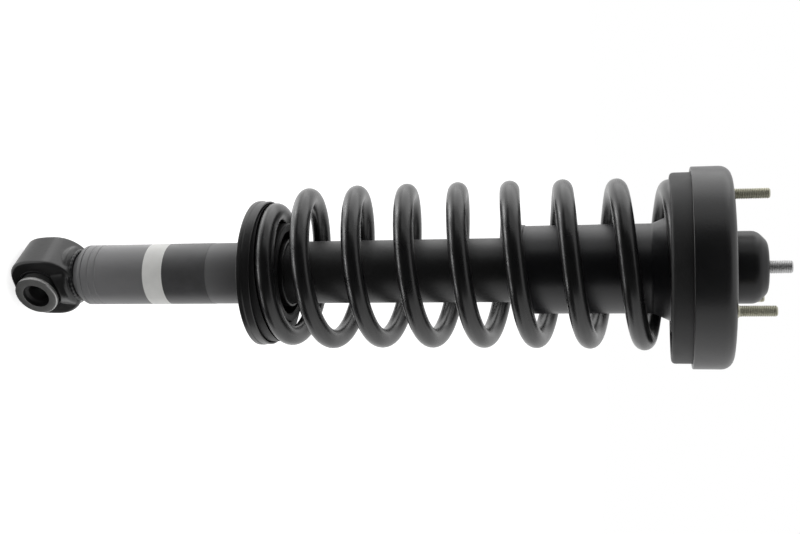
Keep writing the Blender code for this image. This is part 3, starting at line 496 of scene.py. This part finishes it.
def coil_rise(turns):
    """Height of the wire over its tail, with closer pitches at the two ends."""
    lower = smoothstep_area(turns / LOWER_BLEND_TURNS)
    upper = smoothstep_area((turns - COIL_TURNS + UPPER_BLEND_TURNS) / UPPER_BLEND_TURNS)
    rise = LOWER_END_PITCH * turns
    rise += (ACTIVE_PITCH - LOWER_END_PITCH) * LOWER_BLEND_TURNS * lower
    rise -= (ACTIVE_PITCH - UPPER_END_PITCH) * UPPER_BLEND_TURNS * upper
    return rise


def wire_point(turns):
    """Middle of the wire after so many turns from its lower tail."""
    inside = max(0.0, min(COIL_TURNS, turns))
    angle = SPRING_TAIL_ANGLE + 2 * math.pi * turns
    radius = END_COIL_RADIUS + (COIL_RADIUS - END_COIL_RADIUS) * smoothstep(inside / RADIUS_BLEND_TURNS)
    bow = SPRING_BOW * (1 - (2 * inside / COIL_TURNS - 1) ** 4)
    flat = Vector((radius * math.cos(angle), radius * math.sin(angle), WIRE_TAIL_Z + coil_rise(inside)))
    return flat + bow * PHOTO_UP


def coil_spring():
    """Round wire along the spring's helix, with closer pitches and a smaller radius towards both ends."""
    steps = round(COIL_TURNS * WIRE_STEPS_PER_TURN)
    length_per_turn = 2 * math.pi * END_COIL_RADIUS
    rounding = []
    for angle in (0.0, math.pi / 6, math.pi / 3, math.pi / 2):
        run = WIRE_END_ROUNDING * (1 - math.cos(angle))
        rounding.append((run, WIRE_RADIUS - WIRE_END_ROUNDING * (1 - math.sin(angle))))
    stations = [(run / length_per_turn, wide) for run, wide in rounding]
    stations += [(COIL_TURNS * index / steps, WIRE_RADIUS) for index in range(1, steps)]
    stations += [(COIL_TURNS - run / length_per_turn, wide) for run, wide in reversed(rounding)]
    sections = []
    for turns, wide in stations:
        middle = wire_point(turns)
        tangent = (wire_point(turns + TANGENT_STEP) - wire_point(turns - TANGENT_STEP)).normalized()
        away = Vector((middle.x, middle.y, 0.0)).normalized()
        away = (away - away.dot(tangent) * tangent).normalized()
        upward = tangent.cross(away)
        section = []
        for side in range(WIRE_SIDES):
            angle = 2 * math.pi * side / WIRE_SIDES
            section.append(middle + wide * (math.cos(angle) * away + math.sin(angle) * upward))
        sections.append(section)
    mesh = lofted("spring_wire", sections, caps=True, ring=False)
    piece = dress(mesh, "spring_wire", None, "spring_paint")
    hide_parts("coil_spring")
    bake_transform(piece)


def at_angle(profile, angle):
    """Stand profile points (radius, height) up at an angle round the axis."""
    return [(radius * math.cos(angle), radius * math.sin(angle), height) for radius, height in profile]


def wire_in_plane(turns):
    """Radius and height where the bowed wire crosses the half plane at this turn."""
    angle = SPRING_TAIL_ANGLE + 2 * math.pi * turns
    along = turns
    for _ in range(PLANE_ROUNDS):
        along = max(0.0, min(COIL_TURNS, along))
        point = wire_point(along)
        past = (math.atan2(point.y, point.x) - angle + math.pi) % (2 * math.pi) - math.pi
        along -= past / (2 * math.pi)
    return math.hypot(point.x, point.y), point.z


def helical_ring(name, first, profile_at):
    """Loft of a profile that climbs with the wire over one turn, closed by a step."""
    rows = []
    for index in range(RING_SECTIONS + 1):
        turns = first + index / RING_SECTIONS - (STEP_AIR if index == RING_SECTIONS else 0.0)
        rows.append(at_angle(profile_at(turns), SPRING_TAIL_ANGLE + 2 * math.pi * turns))
    return lofted(name, rows)


def groove_shares():
    """Places across a groove, from -1 to 1, closer together towards its edges."""
    return [-math.cos(math.pi * step / GROOVE_FLATS) for step in range(GROOVE_FLATS + 1)]


def lower_pad():
    """Rubber pad whose groove carries the spring's drawn-in end turn."""
    clear = WIRE_RADIUS + GROOVE_FIT
    wrap = clear * math.sin(GROOVE_WRAP)
    hub_outer = END_COIL_RADIUS - WIRE_RADIUS - 0.0007
    hub_inner = hub_outer - 0.0070
    plateau = PAD_BOTTOM + 0.0145
    edge = 0.0012
    foot = 0.0020
    lip = 0.0003
    least_groove = 0.0020

    def profile(turns):
        radius, height = wire_in_plane(turns)
        high = min(wrap, PAD_RADIUS - lip - radius)
        low = min(max(-wrap, hub_outer + lip - radius), high - least_groove)
        middle = 0.5 * (low + high)
        half = 0.5 * (high - low)
        groove = []
        for share in groove_shares():
            offset = middle + half * share
            drop = math.sqrt(max(0.0, clear ** 2 - offset ** 2))
            groove.append((radius + offset, min(plateau, height - drop)))
        points = [(hub_inner, HUB_TOP - edge), (hub_inner + edge, HUB_TOP), (hub_outer - edge, HUB_TOP),
                  (hub_outer, HUB_TOP - edge), (hub_outer, groove[0][1])]
        points += groove
        points += [(PAD_RADIUS, groove[-1][1]), (PAD_RADIUS, PAD_BOTTOM + foot)]
        points += [(PAD_RADIUS - foot, PAD_BOTTOM), (hub_inner, PAD_BOTTOM)]
        return points

    mesh = helical_ring("lower_pad", LOWER_RING_START, profile)
    dress(mesh, "lower_pad", "damper_body", "pad_rubber", ("lower_spring_pad",))


def upper_isolator():
    """Rubber ring with a moulded groove for the upper end turn and a rounded skirt."""
    clear = WIRE_RADIUS + GROOVE_FIT
    inner = 0.0412
    rebate = ISOLATOR_TOP - 0.0023
    rebate_radius = BOOT_FLANGE + 0.0006
    shoulder = 0.0058
    edge = 0.0030
    edge_flats = 4
    lip = 0.0006
    land = 0.0032
    inner_chamfer = 0.0010
    least_groove = 0.0002
    outer = ISOLATOR_RADIUS

    def profile(turns):
        radius, height = wire_in_plane(turns)
        points = [(inner, rebate), (inner, SKIRT_BOTTOM + inner_chamfer)]
        points += [(inner + inner_chamfer, SKIRT_BOTTOM), (radius - clear - lip, SKIRT_BOTTOM)]
        for share in groove_shares():
            lift = math.sqrt(max(0.0, clear ** 2 - (clear * share) ** 2))
            points.append((radius + clear * share, max(SKIRT_BOTTOM + least_groove, height + lift)))
        points += [(min(radius + clear + lip, outer - land), SKIRT_BOTTOM)]
        for step in range(edge_flats + 1):
            angle = -math.pi / 2 + math.pi / 2 * step / edge_flats
            height = SKIRT_BOTTOM + edge + edge * math.sin(angle)
            points.append((outer - edge + edge * math.cos(angle), height))
        points += [(outer, ISOLATOR_TOP - shoulder), (outer - shoulder, ISOLATOR_TOP)]
        points += [(rebate_radius, ISOLATOR_TOP), (rebate_radius, rebate)]
        return points

    mesh = helical_ring("upper_isolator", COIL_TURNS - 1 + UPPER_RING_START, profile)
    dress(mesh, "upper_isolator", "upper_body", "rubber", ("upper_spring_isolator",))


# ---------------------------------------------------------------- threads and studs
def threaded(name, radius, bottom, top, socket=0.0):
    """Shank with a helical thread from bottom to top, a chamfered tip and maybe a hex socket."""
    steps = SMALL
    rows = round((top - bottom) / THREAD_PITCH * THREAD_STEPS)
    work = bmesh.new()
    rings = []
    for row in range(rows + 1):
        height = bottom + (top - bottom) * row / rows
        limit = radius - max(0.0, THREAD_CHAMFER - (top - height))
        fade = min(1.0, (height - bottom) / THREAD_PITCH)
        ring = []
        for step in range(steps):
            angle = 2 * math.pi * step / steps
            phase = ((height - bottom) / THREAD_PITCH - step / steps) % 1.0
            depth = min(1.0, max(0.0, THREAD_ROOT - abs(phase - 0.5) * THREAD_SLOPE))
            groove = THREAD_DEPTH * fade * depth
            wide = min(limit, radius - groove)
            ring.append(work.verts.new((wide * math.cos(angle), wide * math.sin(angle), height)))
        rings.append(ring)
    for row in range(rows):
        for step in range(steps):
            after = (step + 1) % steps
            face = (rings[row][step], rings[row][after], rings[row + 1][after], rings[row + 1][step])
            work.faces.new(face)
    work.faces.new(list(reversed(rings[0])))
    if socket:
        rim = []
        bottom_of_socket = []
        for step in range(steps):
            angle = 2 * math.pi * step / steps
            corner = (angle % (math.pi / 3)) - math.pi / 6
            wide = socket * math.cos(math.pi / 6) / math.cos(corner)
            flat = (wide * math.cos(angle), wide * math.sin(angle))
            rim.append(work.verts.new((*flat, top)))
            bottom_of_socket.append(work.verts.new((*flat, top - SOCKET_DEPTH)))
        for step in range(steps):
            after = (step + 1) % steps
            work.faces.new((rings[-1][step], rings[-1][after], rim[after], rim[step]))
            work.faces.new((rim[step], rim[after], bottom_of_socket[after], bottom_of_socket[step]))
        work.faces.new(bottom_of_socket)
    else:
        work.faces.new(rings[-1])
    return outward(work, name)


def merged(meshes, name):
    """One mesh that holds several."""
    work = bmesh.new()
    for mesh in meshes:
        work.from_mesh(mesh)
    return mesh_of(work, name)


def studs():
    """Three zinc-plated studs with real threads, clinched through the housing."""
    radius = 0.0040
    head_thick = 0.0028
    collar_radius = radius + 0.0010
    thread_from = MOUNT_TOP + 0.0025
    overlap = MOUNT_TOP + 0.0026
    for index in range(3):
        name = "stud_detail_%d" % (index + 1)
        node = "stud_%d" % (index + 1)
        low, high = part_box(node)
        centre = 0.5 * (low + high)
        head = 0.5 * (high.x - low.x)
        shank = threaded("stud", radius, thread_from, high.z)
        collar = [(0.0, low.z, 0), (head, low.z, 0.0005), (head, low.z + head_thick, 0.0004),
                  (radius, low.z + head_thick, 0), (collar_radius, MOUNT_TOP + 0.0001, 0),
                  (collar_radius, MOUNT_TOP + 0.0010, 0.0006), (radius, MOUNT_TOP + 0.0018, 0),
                  (radius - 0.0003, overlap, 0), (0.0, overlap, 0)]
        mesh = merged([shank, spun("collar", collar, SMALL, closed=False)], name)
        mesh.transform(Matrix.Translation((centre.x, centre.y, 0.0)))
        dress(mesh, name, "upper_body", "zinc", (node,))


# ---------------------------------------------------------------- mount
def housing():
    """Pressed cup: flat top with a recessed centre, rounded shoulder and a rounded lower edge."""
    wall = 0.0035
    hole = 0.0170
    recess = 0.0012
    recess_radius = 0.0300
    spread = 0.0014
    shoulder = 0.0090
    outer = HOUSING_RADIUS
    below = MOUNT_TOP - wall
    corners = [(hole, MOUNT_TOP - recess, 0.0006), (recess_radius, MOUNT_TOP - recess, 0.0008),
               (recess_radius + recess, MOUNT_TOP, 0.0010), (outer, MOUNT_TOP, shoulder),
               (outer, HOUSING_BOTTOM, 0.0010), (outer - wall, HOUSING_BOTTOM, 0.0010),
               (outer - wall, below, 0.0058), (recess_radius + recess + spread, below, 0.0010),
               (recess_radius + spread, below - recess, 0.0010), (hole, below - recess, 0.0006)]
    dress(spun("housing", corners), "housing", "upper_body", "mount_paint", ("mount_housing",))


def dome():
    """Pressed dome over the rod nut, with a small foot and a rolled hole for the rod."""
    wall = 0.0018
    hole = 0.0056
    crown = 0.0192
    inner_crown = 0.0184
    flank_top = 0.0178
    inner_flank_top = 0.0170
    flank = DOME_RADIUS - 0.0010
    outer = [(hole, DOME_TOP - 0.0006, 0), (hole + 0.0012, DOME_TOP, 0.0006), (crown, DOME_TOP, 0.0080),
             (flank, flank_top, 0.0100), (flank, DOME_BOTTOM + 0.0030, 0.0012),
             (DOME_RADIUS, DOME_BOTTOM + 0.0018, 0.0006), (DOME_RADIUS, DOME_BOTTOM, 0.0003)]
    inner = [(flank - wall, DOME_BOTTOM, 0), (flank - wall, inner_flank_top, 0.0090),
             (inner_crown, DOME_TOP - wall, 0.0068), (hole, DOME_TOP - wall, 0)]
    dress(spun("dome", outer + inner), "dome", "upper_body", "dome_paint", ("dome_cap",))


def rod():
    """Piston rod: threaded end with a hex socket, ground and chromed shank."""
    end = 0.0050
    tail = 0.0045
    shoulder = -0.0204
    piston_shoulder = -0.2108
    thread_from = 0.0100
    overlap = thread_from + 0.0001
    shank = [(0.0, overlap, 0), (end - 0.0004, overlap, 0), (end, thread_from - 0.0010, 0),
             (end, shoulder, 0), (ROD_RADIUS, shoulder, 0.0005), (ROD_RADIUS, piston_shoulder, 0.0005),
             (tail, piston_shoulder, 0), (tail, ROD_BOTTOM, 0.0006), (0.0, ROD_BOTTOM, 0)]
    mesh = spun("rod_shank", shank, SMALL, closed=False)
    dress(mesh, "rod_shank", "upper_body", "hard_chrome", ("piston_rod",))
    mesh = threaded("rod_thread", end - 0.0001, thread_from, ROD_TIP, socket=0.0024)
    dress(mesh, "rod_thread", "upper_body", "bare_steel")


def boot():
    """Dust boot: flange in the mount, flared neck, smooth sleeve with a rolled lower edge."""
    wall = 0.0020
    neck = 0.0404
    radius = 0.0346
    flare = SKIRT_BOTTOM
    bead = radius + 0.0008
    outer = [(BOOT_FLANGE, BOOT_TOP, 0.0004), (BOOT_FLANGE, BOOT_TOP - wall, 0.0004),
             (neck, BOOT_TOP - wall, 0), (neck, flare, 0.0050), (radius, flare - 0.0130, 0.0060),
             (radius, BOOT_BOTTOM + 0.0050, 0.0004), (bead, BOOT_BOTTOM + 0.0042, 0.0006),
             (bead, BOOT_BOTTOM, 0.0008)]
    inner = [(radius - wall, BOOT_BOTTOM, 0.0005), (radius - wall, flare - 0.0120, 0.0060),
             (neck - wall, flare + 0.0010, 0.0050), (neck - wall, BOOT_TOP, 0)]
    dress(spun("boot", outer + inner), "boot", "upper_body", "black_plastic", ("dust_boot",))


def bump_stop():
    """Foam bump stop with two waists, on a mesh of its own."""
    low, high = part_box("bump_stop")
    length = high.z - low.z
    widest = high.x
    bore = 0.0076
    waves = [(0.00, widest - 0.0010, 0), (0.22, widest, 0.004), (0.32, widest - 0.0070, 0.003),
             (0.46, widest - 0.0010, 0.005), (0.62, widest - 0.0070, 0.003),
             (0.76, widest - 0.0035, 0.005), (1.00, widest - 0.0050, 0.003)]
    corners = [(radius, high.z - share * length, fillet) for share, radius, fillet in waves]
    corners += [(bore, low.z, 0.001), (bore, high.z, 0)]
    stop = dress(spun("foam_stop", corners, SMALL), "foam_stop", "upper_body", "foam", ("bump_stop",))
    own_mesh(stop)


# ---------------------------------------------------------------- damper
def tube():
    """Painted tube with two shallow rolled grooves over its lower edge."""
    wall = 0.0020
    depth = 0.0004
    half = 0.0010
    corners = [(TUBE_RADIUS, TUBE_TOP, 0.0008)]
    for groove in (TUBE_BOTTOM + 0.0125, TUBE_BOTTOM + 0.0065):
        corners += [(TUBE_RADIUS, groove + half, 0.0004), (TUBE_RADIUS - depth, groove, 0.0006),
                    (TUBE_RADIUS, groove - half, 0.0004)]
    corners += [(TUBE_RADIUS, TUBE_BOTTOM, 0.0006), (TUBE_RADIUS - wall, TUBE_BOTTOM, 0.0003),
                (TUBE_RADIUS - wall, TUBE_TOP, 0.0003)]
    dress(spun("tube", corners), "tube", "damper_body", "tube_paint", ("outer_tube",))


def band(name, heights):
    """Thin plain band round the tube, in the material of the same name."""
    bottom, top = heights
    proud = TUBE_RADIUS + 0.00012
    sunk = TUBE_RADIUS - 0.0004
    corners = [(proud, top, 0), (proud, bottom, 0), (sunk, bottom, 0), (sunk, top, 0)]
    dress(spun(name, corners), name, "damper_body", name)


def base():
    """Domed base pressed into the tube."""
    inside = TUBE_RADIUS - 0.0023
    flat = 0.0190
    corners = [(0.0, BASE_TOP, 0), (inside, BASE_TOP, 0.0010), (inside, TUBE_BOTTOM, 0),
               (TUBE_RADIUS, TUBE_BOTTOM - 0.0003, 0.0006), (TUBE_RADIUS, TUBE_BOTTOM - 0.0030, 0.0035),
               (flat, BASE_BOTTOM, 0.0030), (0.0, BASE_BOTTOM, 0)]
    dress(spun("base", corners, closed=False), "base", "damper_body", "tube_paint", ("base_cap",))


def seat():
    """Pressed dish with a turned-down hem under its rim, a raised bead, and its collar round the tube."""
    wall = 0.0023
    hem = SEAT_BOTTOM - 0.0016
    flank = SEAT_RADIUS - 0.0005
    bore = TUBE_RADIUS + 0.0003
    rim = SEAT_BOTTOM + 0.0090
    inside = SEAT_RADIUS - wall
    corners = [(flank, rim, 0.0010), (flank, SEAT_BOTTOM + 0.0030, 0.0004),
               (SEAT_RADIUS, SEAT_BOTTOM + 0.0022, 0.0004), (SEAT_RADIUS, hem, 0.0009),
               (inside, hem, 0.0009), (inside, SEAT_BOTTOM, 0.0020),
               (bore, SEAT_BOTTOM, 0.0040), (bore, COLLAR_TOP, 0.0006), (bore + wall, COLLAR_TOP, 0.0010),
               (bore + wall, SEAT_BOTTOM + wall, 0.0020), (inside, SEAT_BOTTOM + wall, 0.0022),
               (inside, rim, 0.0010)]
    dress(spun("seat_dish", corners), "seat_dish", "damper_body", "seat_paint", ("lower_spring_seat",))
    weld_bead("seat_weld", TUBE_RADIUS + 0.0006, SEAT_BOTTOM + 0.0008, ripples=40)


# ---------------------------------------------------------------- eye and bushing
def squared(value, power):
    """Power of a value that keeps its sign, for outlines between a circle and a square."""
    return math.copysign(abs(value) ** power, value)


def eye_ring(wide, middle):
    """Ring of the eye, before its bore: nearly round above, squarish below."""
    below = middle - EYE_LOW.z
    edge = 0.0014
    upper_power = 0.95
    lower_power = 0.62
    sections = []
    for side, inset in ((-EYE_FACE, edge), (-EYE_FACE + edge, 0.0), (EYE_FACE - edge, 0.0), (EYE_FACE, edge)):
        section = []
        for step in range(MEDIUM):
            turn = 2 * math.pi * step / MEDIUM
            low = math.sin(turn) < 0
            power = lower_power if low else upper_power
            tall = below if low else wide
            section.append(((wide - inset) * squared(math.cos(turn), power), side,
                            middle + (tall - inset) * squared(math.sin(turn), power)))
        sections.append(section)
    return lofted("ring", sections, caps=True, ring=False)


def eye():
    """Forged eye: a ring blended into its neck, with a machined bore and a weld."""
    middle = EYE_CENTRE + 0.0068
    neck_radius = 0.0208
    neck_top = EYE_HIGH.z
    bore = 0.0200
    past = 0.05
    neck = [(0.0, neck_top, 0), (neck_radius, neck_top, 0), (neck_radius, neck_top - 0.0020, 0.0012),
            (0.0252, neck_top - 0.0045, 0.0030), (0.0240, middle + 0.0060, 0.0040), (0.0, middle, 0)]
    ring = helper(eye_ring(0.0288, middle))
    ring = joined(ring, helper(spun("neck", neck, MEDIUM, closed=False)), "UNION")
    remesh = ring.modifiers.new("blend", "REMESH")
    remesh.mode = "VOXEL"
    remesh.voxel_size = 0.0007
    smooth = ring.modifiers.new("soften", "SMOOTH")
    smooth.factor = 0.5
    smooth.iterations = 6
    ring = helper(applied(ring))
    cutter = [(0.0, past, 0), (bore, past, 0), (bore, -past, 0), (0.0, -past, 0)]
    ring = joined(ring, helper(spun("bore", cutter, MEDIUM, closed=False), lying(EYE_CENTRE)), "DIFFERENCE")
    dress(applied(ring), "forged_eye", "damper_body", "eye_paint", ("lower_eye",))
    weld_bead("eye_weld", neck_radius - 0.0004, neck_top - 0.0010, ripples=34)


def lain(name, profile):
    """Turned piece that lies along Y through the eye."""
    mesh = spun(name, profile, MEDIUM)
    mesh.transform(lying(EYE_CENTRE))
    return mesh


def mirrored(half):
    """Points of half a profile (radius, place along Y, fillet) seen from the other end."""
    return [(radius, -along, fillet) for radius, along, fillet in reversed(half)]


def bushing():
    """Outer sleeve, rubber that bulges out to the sleeve's heads, and the inner sleeve with its wide ends."""
    outer = 0.0197
    wall = 0.0015
    lip = EYE_FACE + 0.0008
    air = 0.0003
    corners = [(outer, lip, 0.0004), (outer, -lip, 0.0004),
               (outer - wall, -lip, 0.0004), (outer - wall, lip, 0.0004)]
    mesh = lain("bushing_shell", corners)
    dress(mesh, "bushing_shell", "damper_body", "dark_steel", ("bushing_outer_sleeve",))
    end = SLEEVE_HIGH.y
    head = 0.0035
    rubber_outer = outer - wall - air
    bulge = end - head - air
    half = [(rubber_outer, EYE_FACE - 0.0006, 0.0004), (rubber_outer - 0.0010, EYE_FACE + 0.0016, 0.0016),
            (0.0158, bulge, 0.0012), (0.0116, bulge, 0.0004)]
    mesh = lain("bushing_core", half + mirrored(half))
    dress(mesh, "bushing_core", "damper_body", "rubber", ("bushing_rubber",))
    wide = SLEEVE_HIGH.x
    bore = 0.0085
    mouth = 0.0112
    shank = 0.0113
    half = [(bore, 0.0, 0), (bore, end - 0.0050, 0.0004), (mouth, end - 0.0034, 0.0006), (mouth, end, 0.0005),
            (wide, end, 0.0012), (wide, end - head, 0.0006), (shank, end - head, 0.0008), (shank, 0.0, 0)]
    mesh = lain("bolt_sleeve", half + mirrored(half[1:-1]))
    sleeve = dress(mesh, "bolt_sleeve", "sleeve_body", "sleeve_steel", ("bushing_inner_sleeve",))
    # Faces inside the sleeve's mouth take the near-black bore material: painted shade in the bore.
    sleeve.data.materials.append(MATERIALS["bore_painted_shade"])
    for face in sleeve.data.polygons:
        across = math.hypot(face.center.x, face.center.z - EYE_CENTRE)
        face.material_index = 1 if across < mouth + 0.0002 else 0


housing()
upper_isolator()
studs()
dome()
rod()
boot()
bump_stop()
coil_spring()
tube()
band("pale_band", PALE_BAND)
band("dark_band", DARK_BAND)
base()
seat()
lower_pad()
eye()
bushing()


# ---------------------------------------------------------------- stage, camera and lamps
def in_photo(along, up, near):
    """Point by its place along the strut, up the picture and towards the camera."""
    return along * ALONG + up * PHOTO_UP + near * PHOTO_NEAR


def light_rays(nodes, links):
    """1 for rays that see the backdrop itself: camera, glossy and transmission rays."""
    path = nodes.new("ShaderNodeLightPath")
    either = nodes.new("ShaderNodeMath")
    either.operation = "MAXIMUM"
    links.new(path.outputs["Is Camera Ray"], either.inputs[0])
    links.new(path.outputs["Is Glossy Ray"], either.inputs[1])
    any_of_them = nodes.new("ShaderNodeMath")
    any_of_them.operation = "MAXIMUM"
    links.new(either.outputs["Value"], any_of_them.inputs[0])
    links.new(path.outputs["Is Transmission Ray"], any_of_them.inputs[1])
    return any_of_them.outputs["Value"]


def world():
    """White backdrop, with a softer ambient light for the surfaces."""
    made = bpy.data.worlds.new("studio")
    bpy.context.scene.world = made
    made.use_nodes = True
    nodes = made.node_tree.nodes
    links = made.node_tree.links
    nodes.clear()
    ambient = nodes.new("ShaderNodeBackground")
    ambient.inputs["Color"].default_value = WHITE
    ambient.inputs["Strength"].default_value = AMBIENT
    backdrop = nodes.new("ShaderNodeBackground")
    backdrop.inputs["Color"].default_value = WHITE
    backdrop.inputs["Strength"].default_value = 1.0
    mix = nodes.new("ShaderNodeMixShader")
    output = nodes.new("ShaderNodeOutputWorld")
    links.new(light_rays(nodes, links), mix.inputs["Fac"])
    links.new(ambient.outputs["Background"], mix.inputs[1])
    links.new(backdrop.outputs["Background"], mix.inputs[2])
    links.new(mix.outputs["Shader"], output.inputs["Surface"])


def sheet(name, corners):
    """Single four-sided face with a material of its own."""
    mesh = bpy.data.meshes.new(name)
    mesh.from_pydata([tuple(corner) for corner in corners], [], [(0, 1, 2, 3)])
    obj = bpy.data.objects.new(name, mesh)
    bpy.context.scene.collection.objects.link(obj)
    material = bpy.data.materials.new(name)
    material.use_nodes = True
    mesh.materials.append(material)
    return obj, material


def floor():
    """Pale floor under the standing strut; it glows a little for the camera and keeps shadows."""
    half = FLOOR_HALF
    height = EYE_LOW.z - 0.0004
    plane, material = sheet("floor", [(-half, -half, height), (half, -half, height),
                                      (half, half, height), (-half, half, height)])
    nodes = material.node_tree.nodes
    links = material.node_tree.links
    nodes.clear()
    diffuse = nodes.new("ShaderNodeBsdfDiffuse")
    diffuse.inputs["Color"].default_value = FLOOR_COLOUR
    glow = nodes.new("ShaderNodeEmission")
    glow.inputs["Color"].default_value = FLOOR_GLOW
    links.new(light_rays(nodes, links), glow.inputs["Strength"])
    total = nodes.new("ShaderNodeAddShader")
    output = nodes.new("ShaderNodeOutputMaterial")
    links.new(diffuse.outputs["BSDF"], total.inputs[0])
    links.new(glow.outputs["Emission"], total.inputs[1])
    links.new(total.outputs["Shader"], output.inputs["Surface"])


def facing(location, target, up):
    """Matrix of something at a place whose -Z looks at the target and whose Y is nearest to up."""
    back = (location - target).normalized()
    side = up.cross(back).normalized()
    top = back.cross(side)
    turn = Matrix((side, top, back)).transposed().to_4x4()
    return Matrix.Translation(location) @ turn


def dark_card(name, corners):
    """Black card that only reflections see, so that black paint has something dark to mirror."""
    card, material = sheet(name, corners)
    shader = material.node_tree.nodes["Principled BSDF"]
    shader.inputs["Base Color"].default_value = CARD_BLACK
    shader.inputs["Roughness"].default_value = 1.0
    shader.inputs["Specular IOR Level"].default_value = 0.0
    card.visible_camera = False
    card.visible_diffuse = False
    card.visible_shadow = False
    card.visible_transmission = False


def dark_cards():
    """One card stands behind the camera and two lie on the floor before the strut."""
    distance = 1.60
    below = -1.45
    above = 1.80
    ground = EYE_LOW.z + 0.002
    top = 2.6
    dark_card("dark_wall", [in_photo(ground, below, distance), in_photo(top, below, distance),
                            in_photo(top, above, distance), in_photo(ground, above, distance)])
    grounds = (("dark_ground_low", below, 0.0, 0.0), ("dark_ground_high", 0.0, above, 0.12))
    for name, lowest, highest, near in grounds:
        dark_card(name, [in_photo(ground, lowest, near), in_photo(ground, lowest, distance),
                         in_photo(ground, highest, distance), in_photo(ground, highest, near)])


def lamp(name, place, target, wide, tall, watts, across=ALONG):
    """Rectangular softbox that faces its target, with its second size along the given direction."""
    data = bpy.data.lights.new(name, "AREA")
    data.shape = "RECTANGLE"
    data.size = wide
    data.size_y = tall
    data.energy = watts
    obj = bpy.data.objects.new(name, data)
    bpy.context.scene.collection.objects.link(obj)
    obj.matrix_world = facing(place, target, across)
    obj.visible_camera = False
    return obj


def lamps():
    """Large softboxes above and below the strut, and small ones at its foot that line the coils' edges."""
    middle = in_photo(-0.20, 0.0, 0.0)
    lamp("key", in_photo(0.0, 1.20, -0.45), middle, 1.2, 1.9, KEY_WATTS)
    lamp("low", in_photo(0.0, -1.25, -0.10), middle, 1.2, 1.6, LOW_WATTS)
    foot = EYE_LOW.z + 0.003
    place = in_photo(foot, 0.34, 0.0)
    corner = lamp("corner", place, place + ALONG, 0.5, 0.5, CORNER_WATTS, across=PHOTO_NEAR)
    corner.visible_diffuse = False
    spring_middle = in_photo(-0.15, 0.0, 0.0)
    for up, near in ((-0.16, 0.12), (0.0, 0.15), (0.16, 0.12), (0.32, -0.02)):
        place = in_photo(foot, up, near)
        edge = lamp("edge", place, spring_middle, 0.15, 0.14, EDGE_WATTS, across=PHOTO_NEAR)
        edge.data.spread = EDGE_SPREAD
        edge.visible_diffuse = False


def camera():
    """Camera at the photograph's place, turned as the photograph is."""
    level = math.cos(CAMERA_PITCH)
    back = math.sin(CAMERA_YAW) * level * ALONG
    back += math.sin(CAMERA_PITCH) * PHOTO_UP
    back += math.cos(CAMERA_YAW) * level * PHOTO_NEAR
    side = PHOTO_UP.cross(back).normalized()
    top = back.cross(side)
    turned_side = side * math.cos(CAMERA_ROLL) + top * math.sin(CAMERA_ROLL)
    turned_top = top * math.cos(CAMERA_ROLL) - side * math.sin(CAMERA_ROLL)
    data = bpy.data.cameras.new("photo_camera")
    data.lens = LENS
    data.sensor_width = SENSOR
    data.clip_start = 0.02
    data.clip_end = 60.0
    obj = bpy.data.objects.new("photo_camera", data)
    bpy.context.scene.collection.objects.link(obj)
    turn = Matrix((turned_side, turned_top, back)).transposed().to_4x4()
    obj.matrix_world = Matrix.Translation(in_photo(CAMERA_ALONG, CAMERA_UP, CAMERA_NEAR)) @ turn
    bpy.context.scene.camera = obj


world()
floor()
dark_cards()
lamps()
camera()
bpy.context.scene.view_settings.view_transform = "Standard"
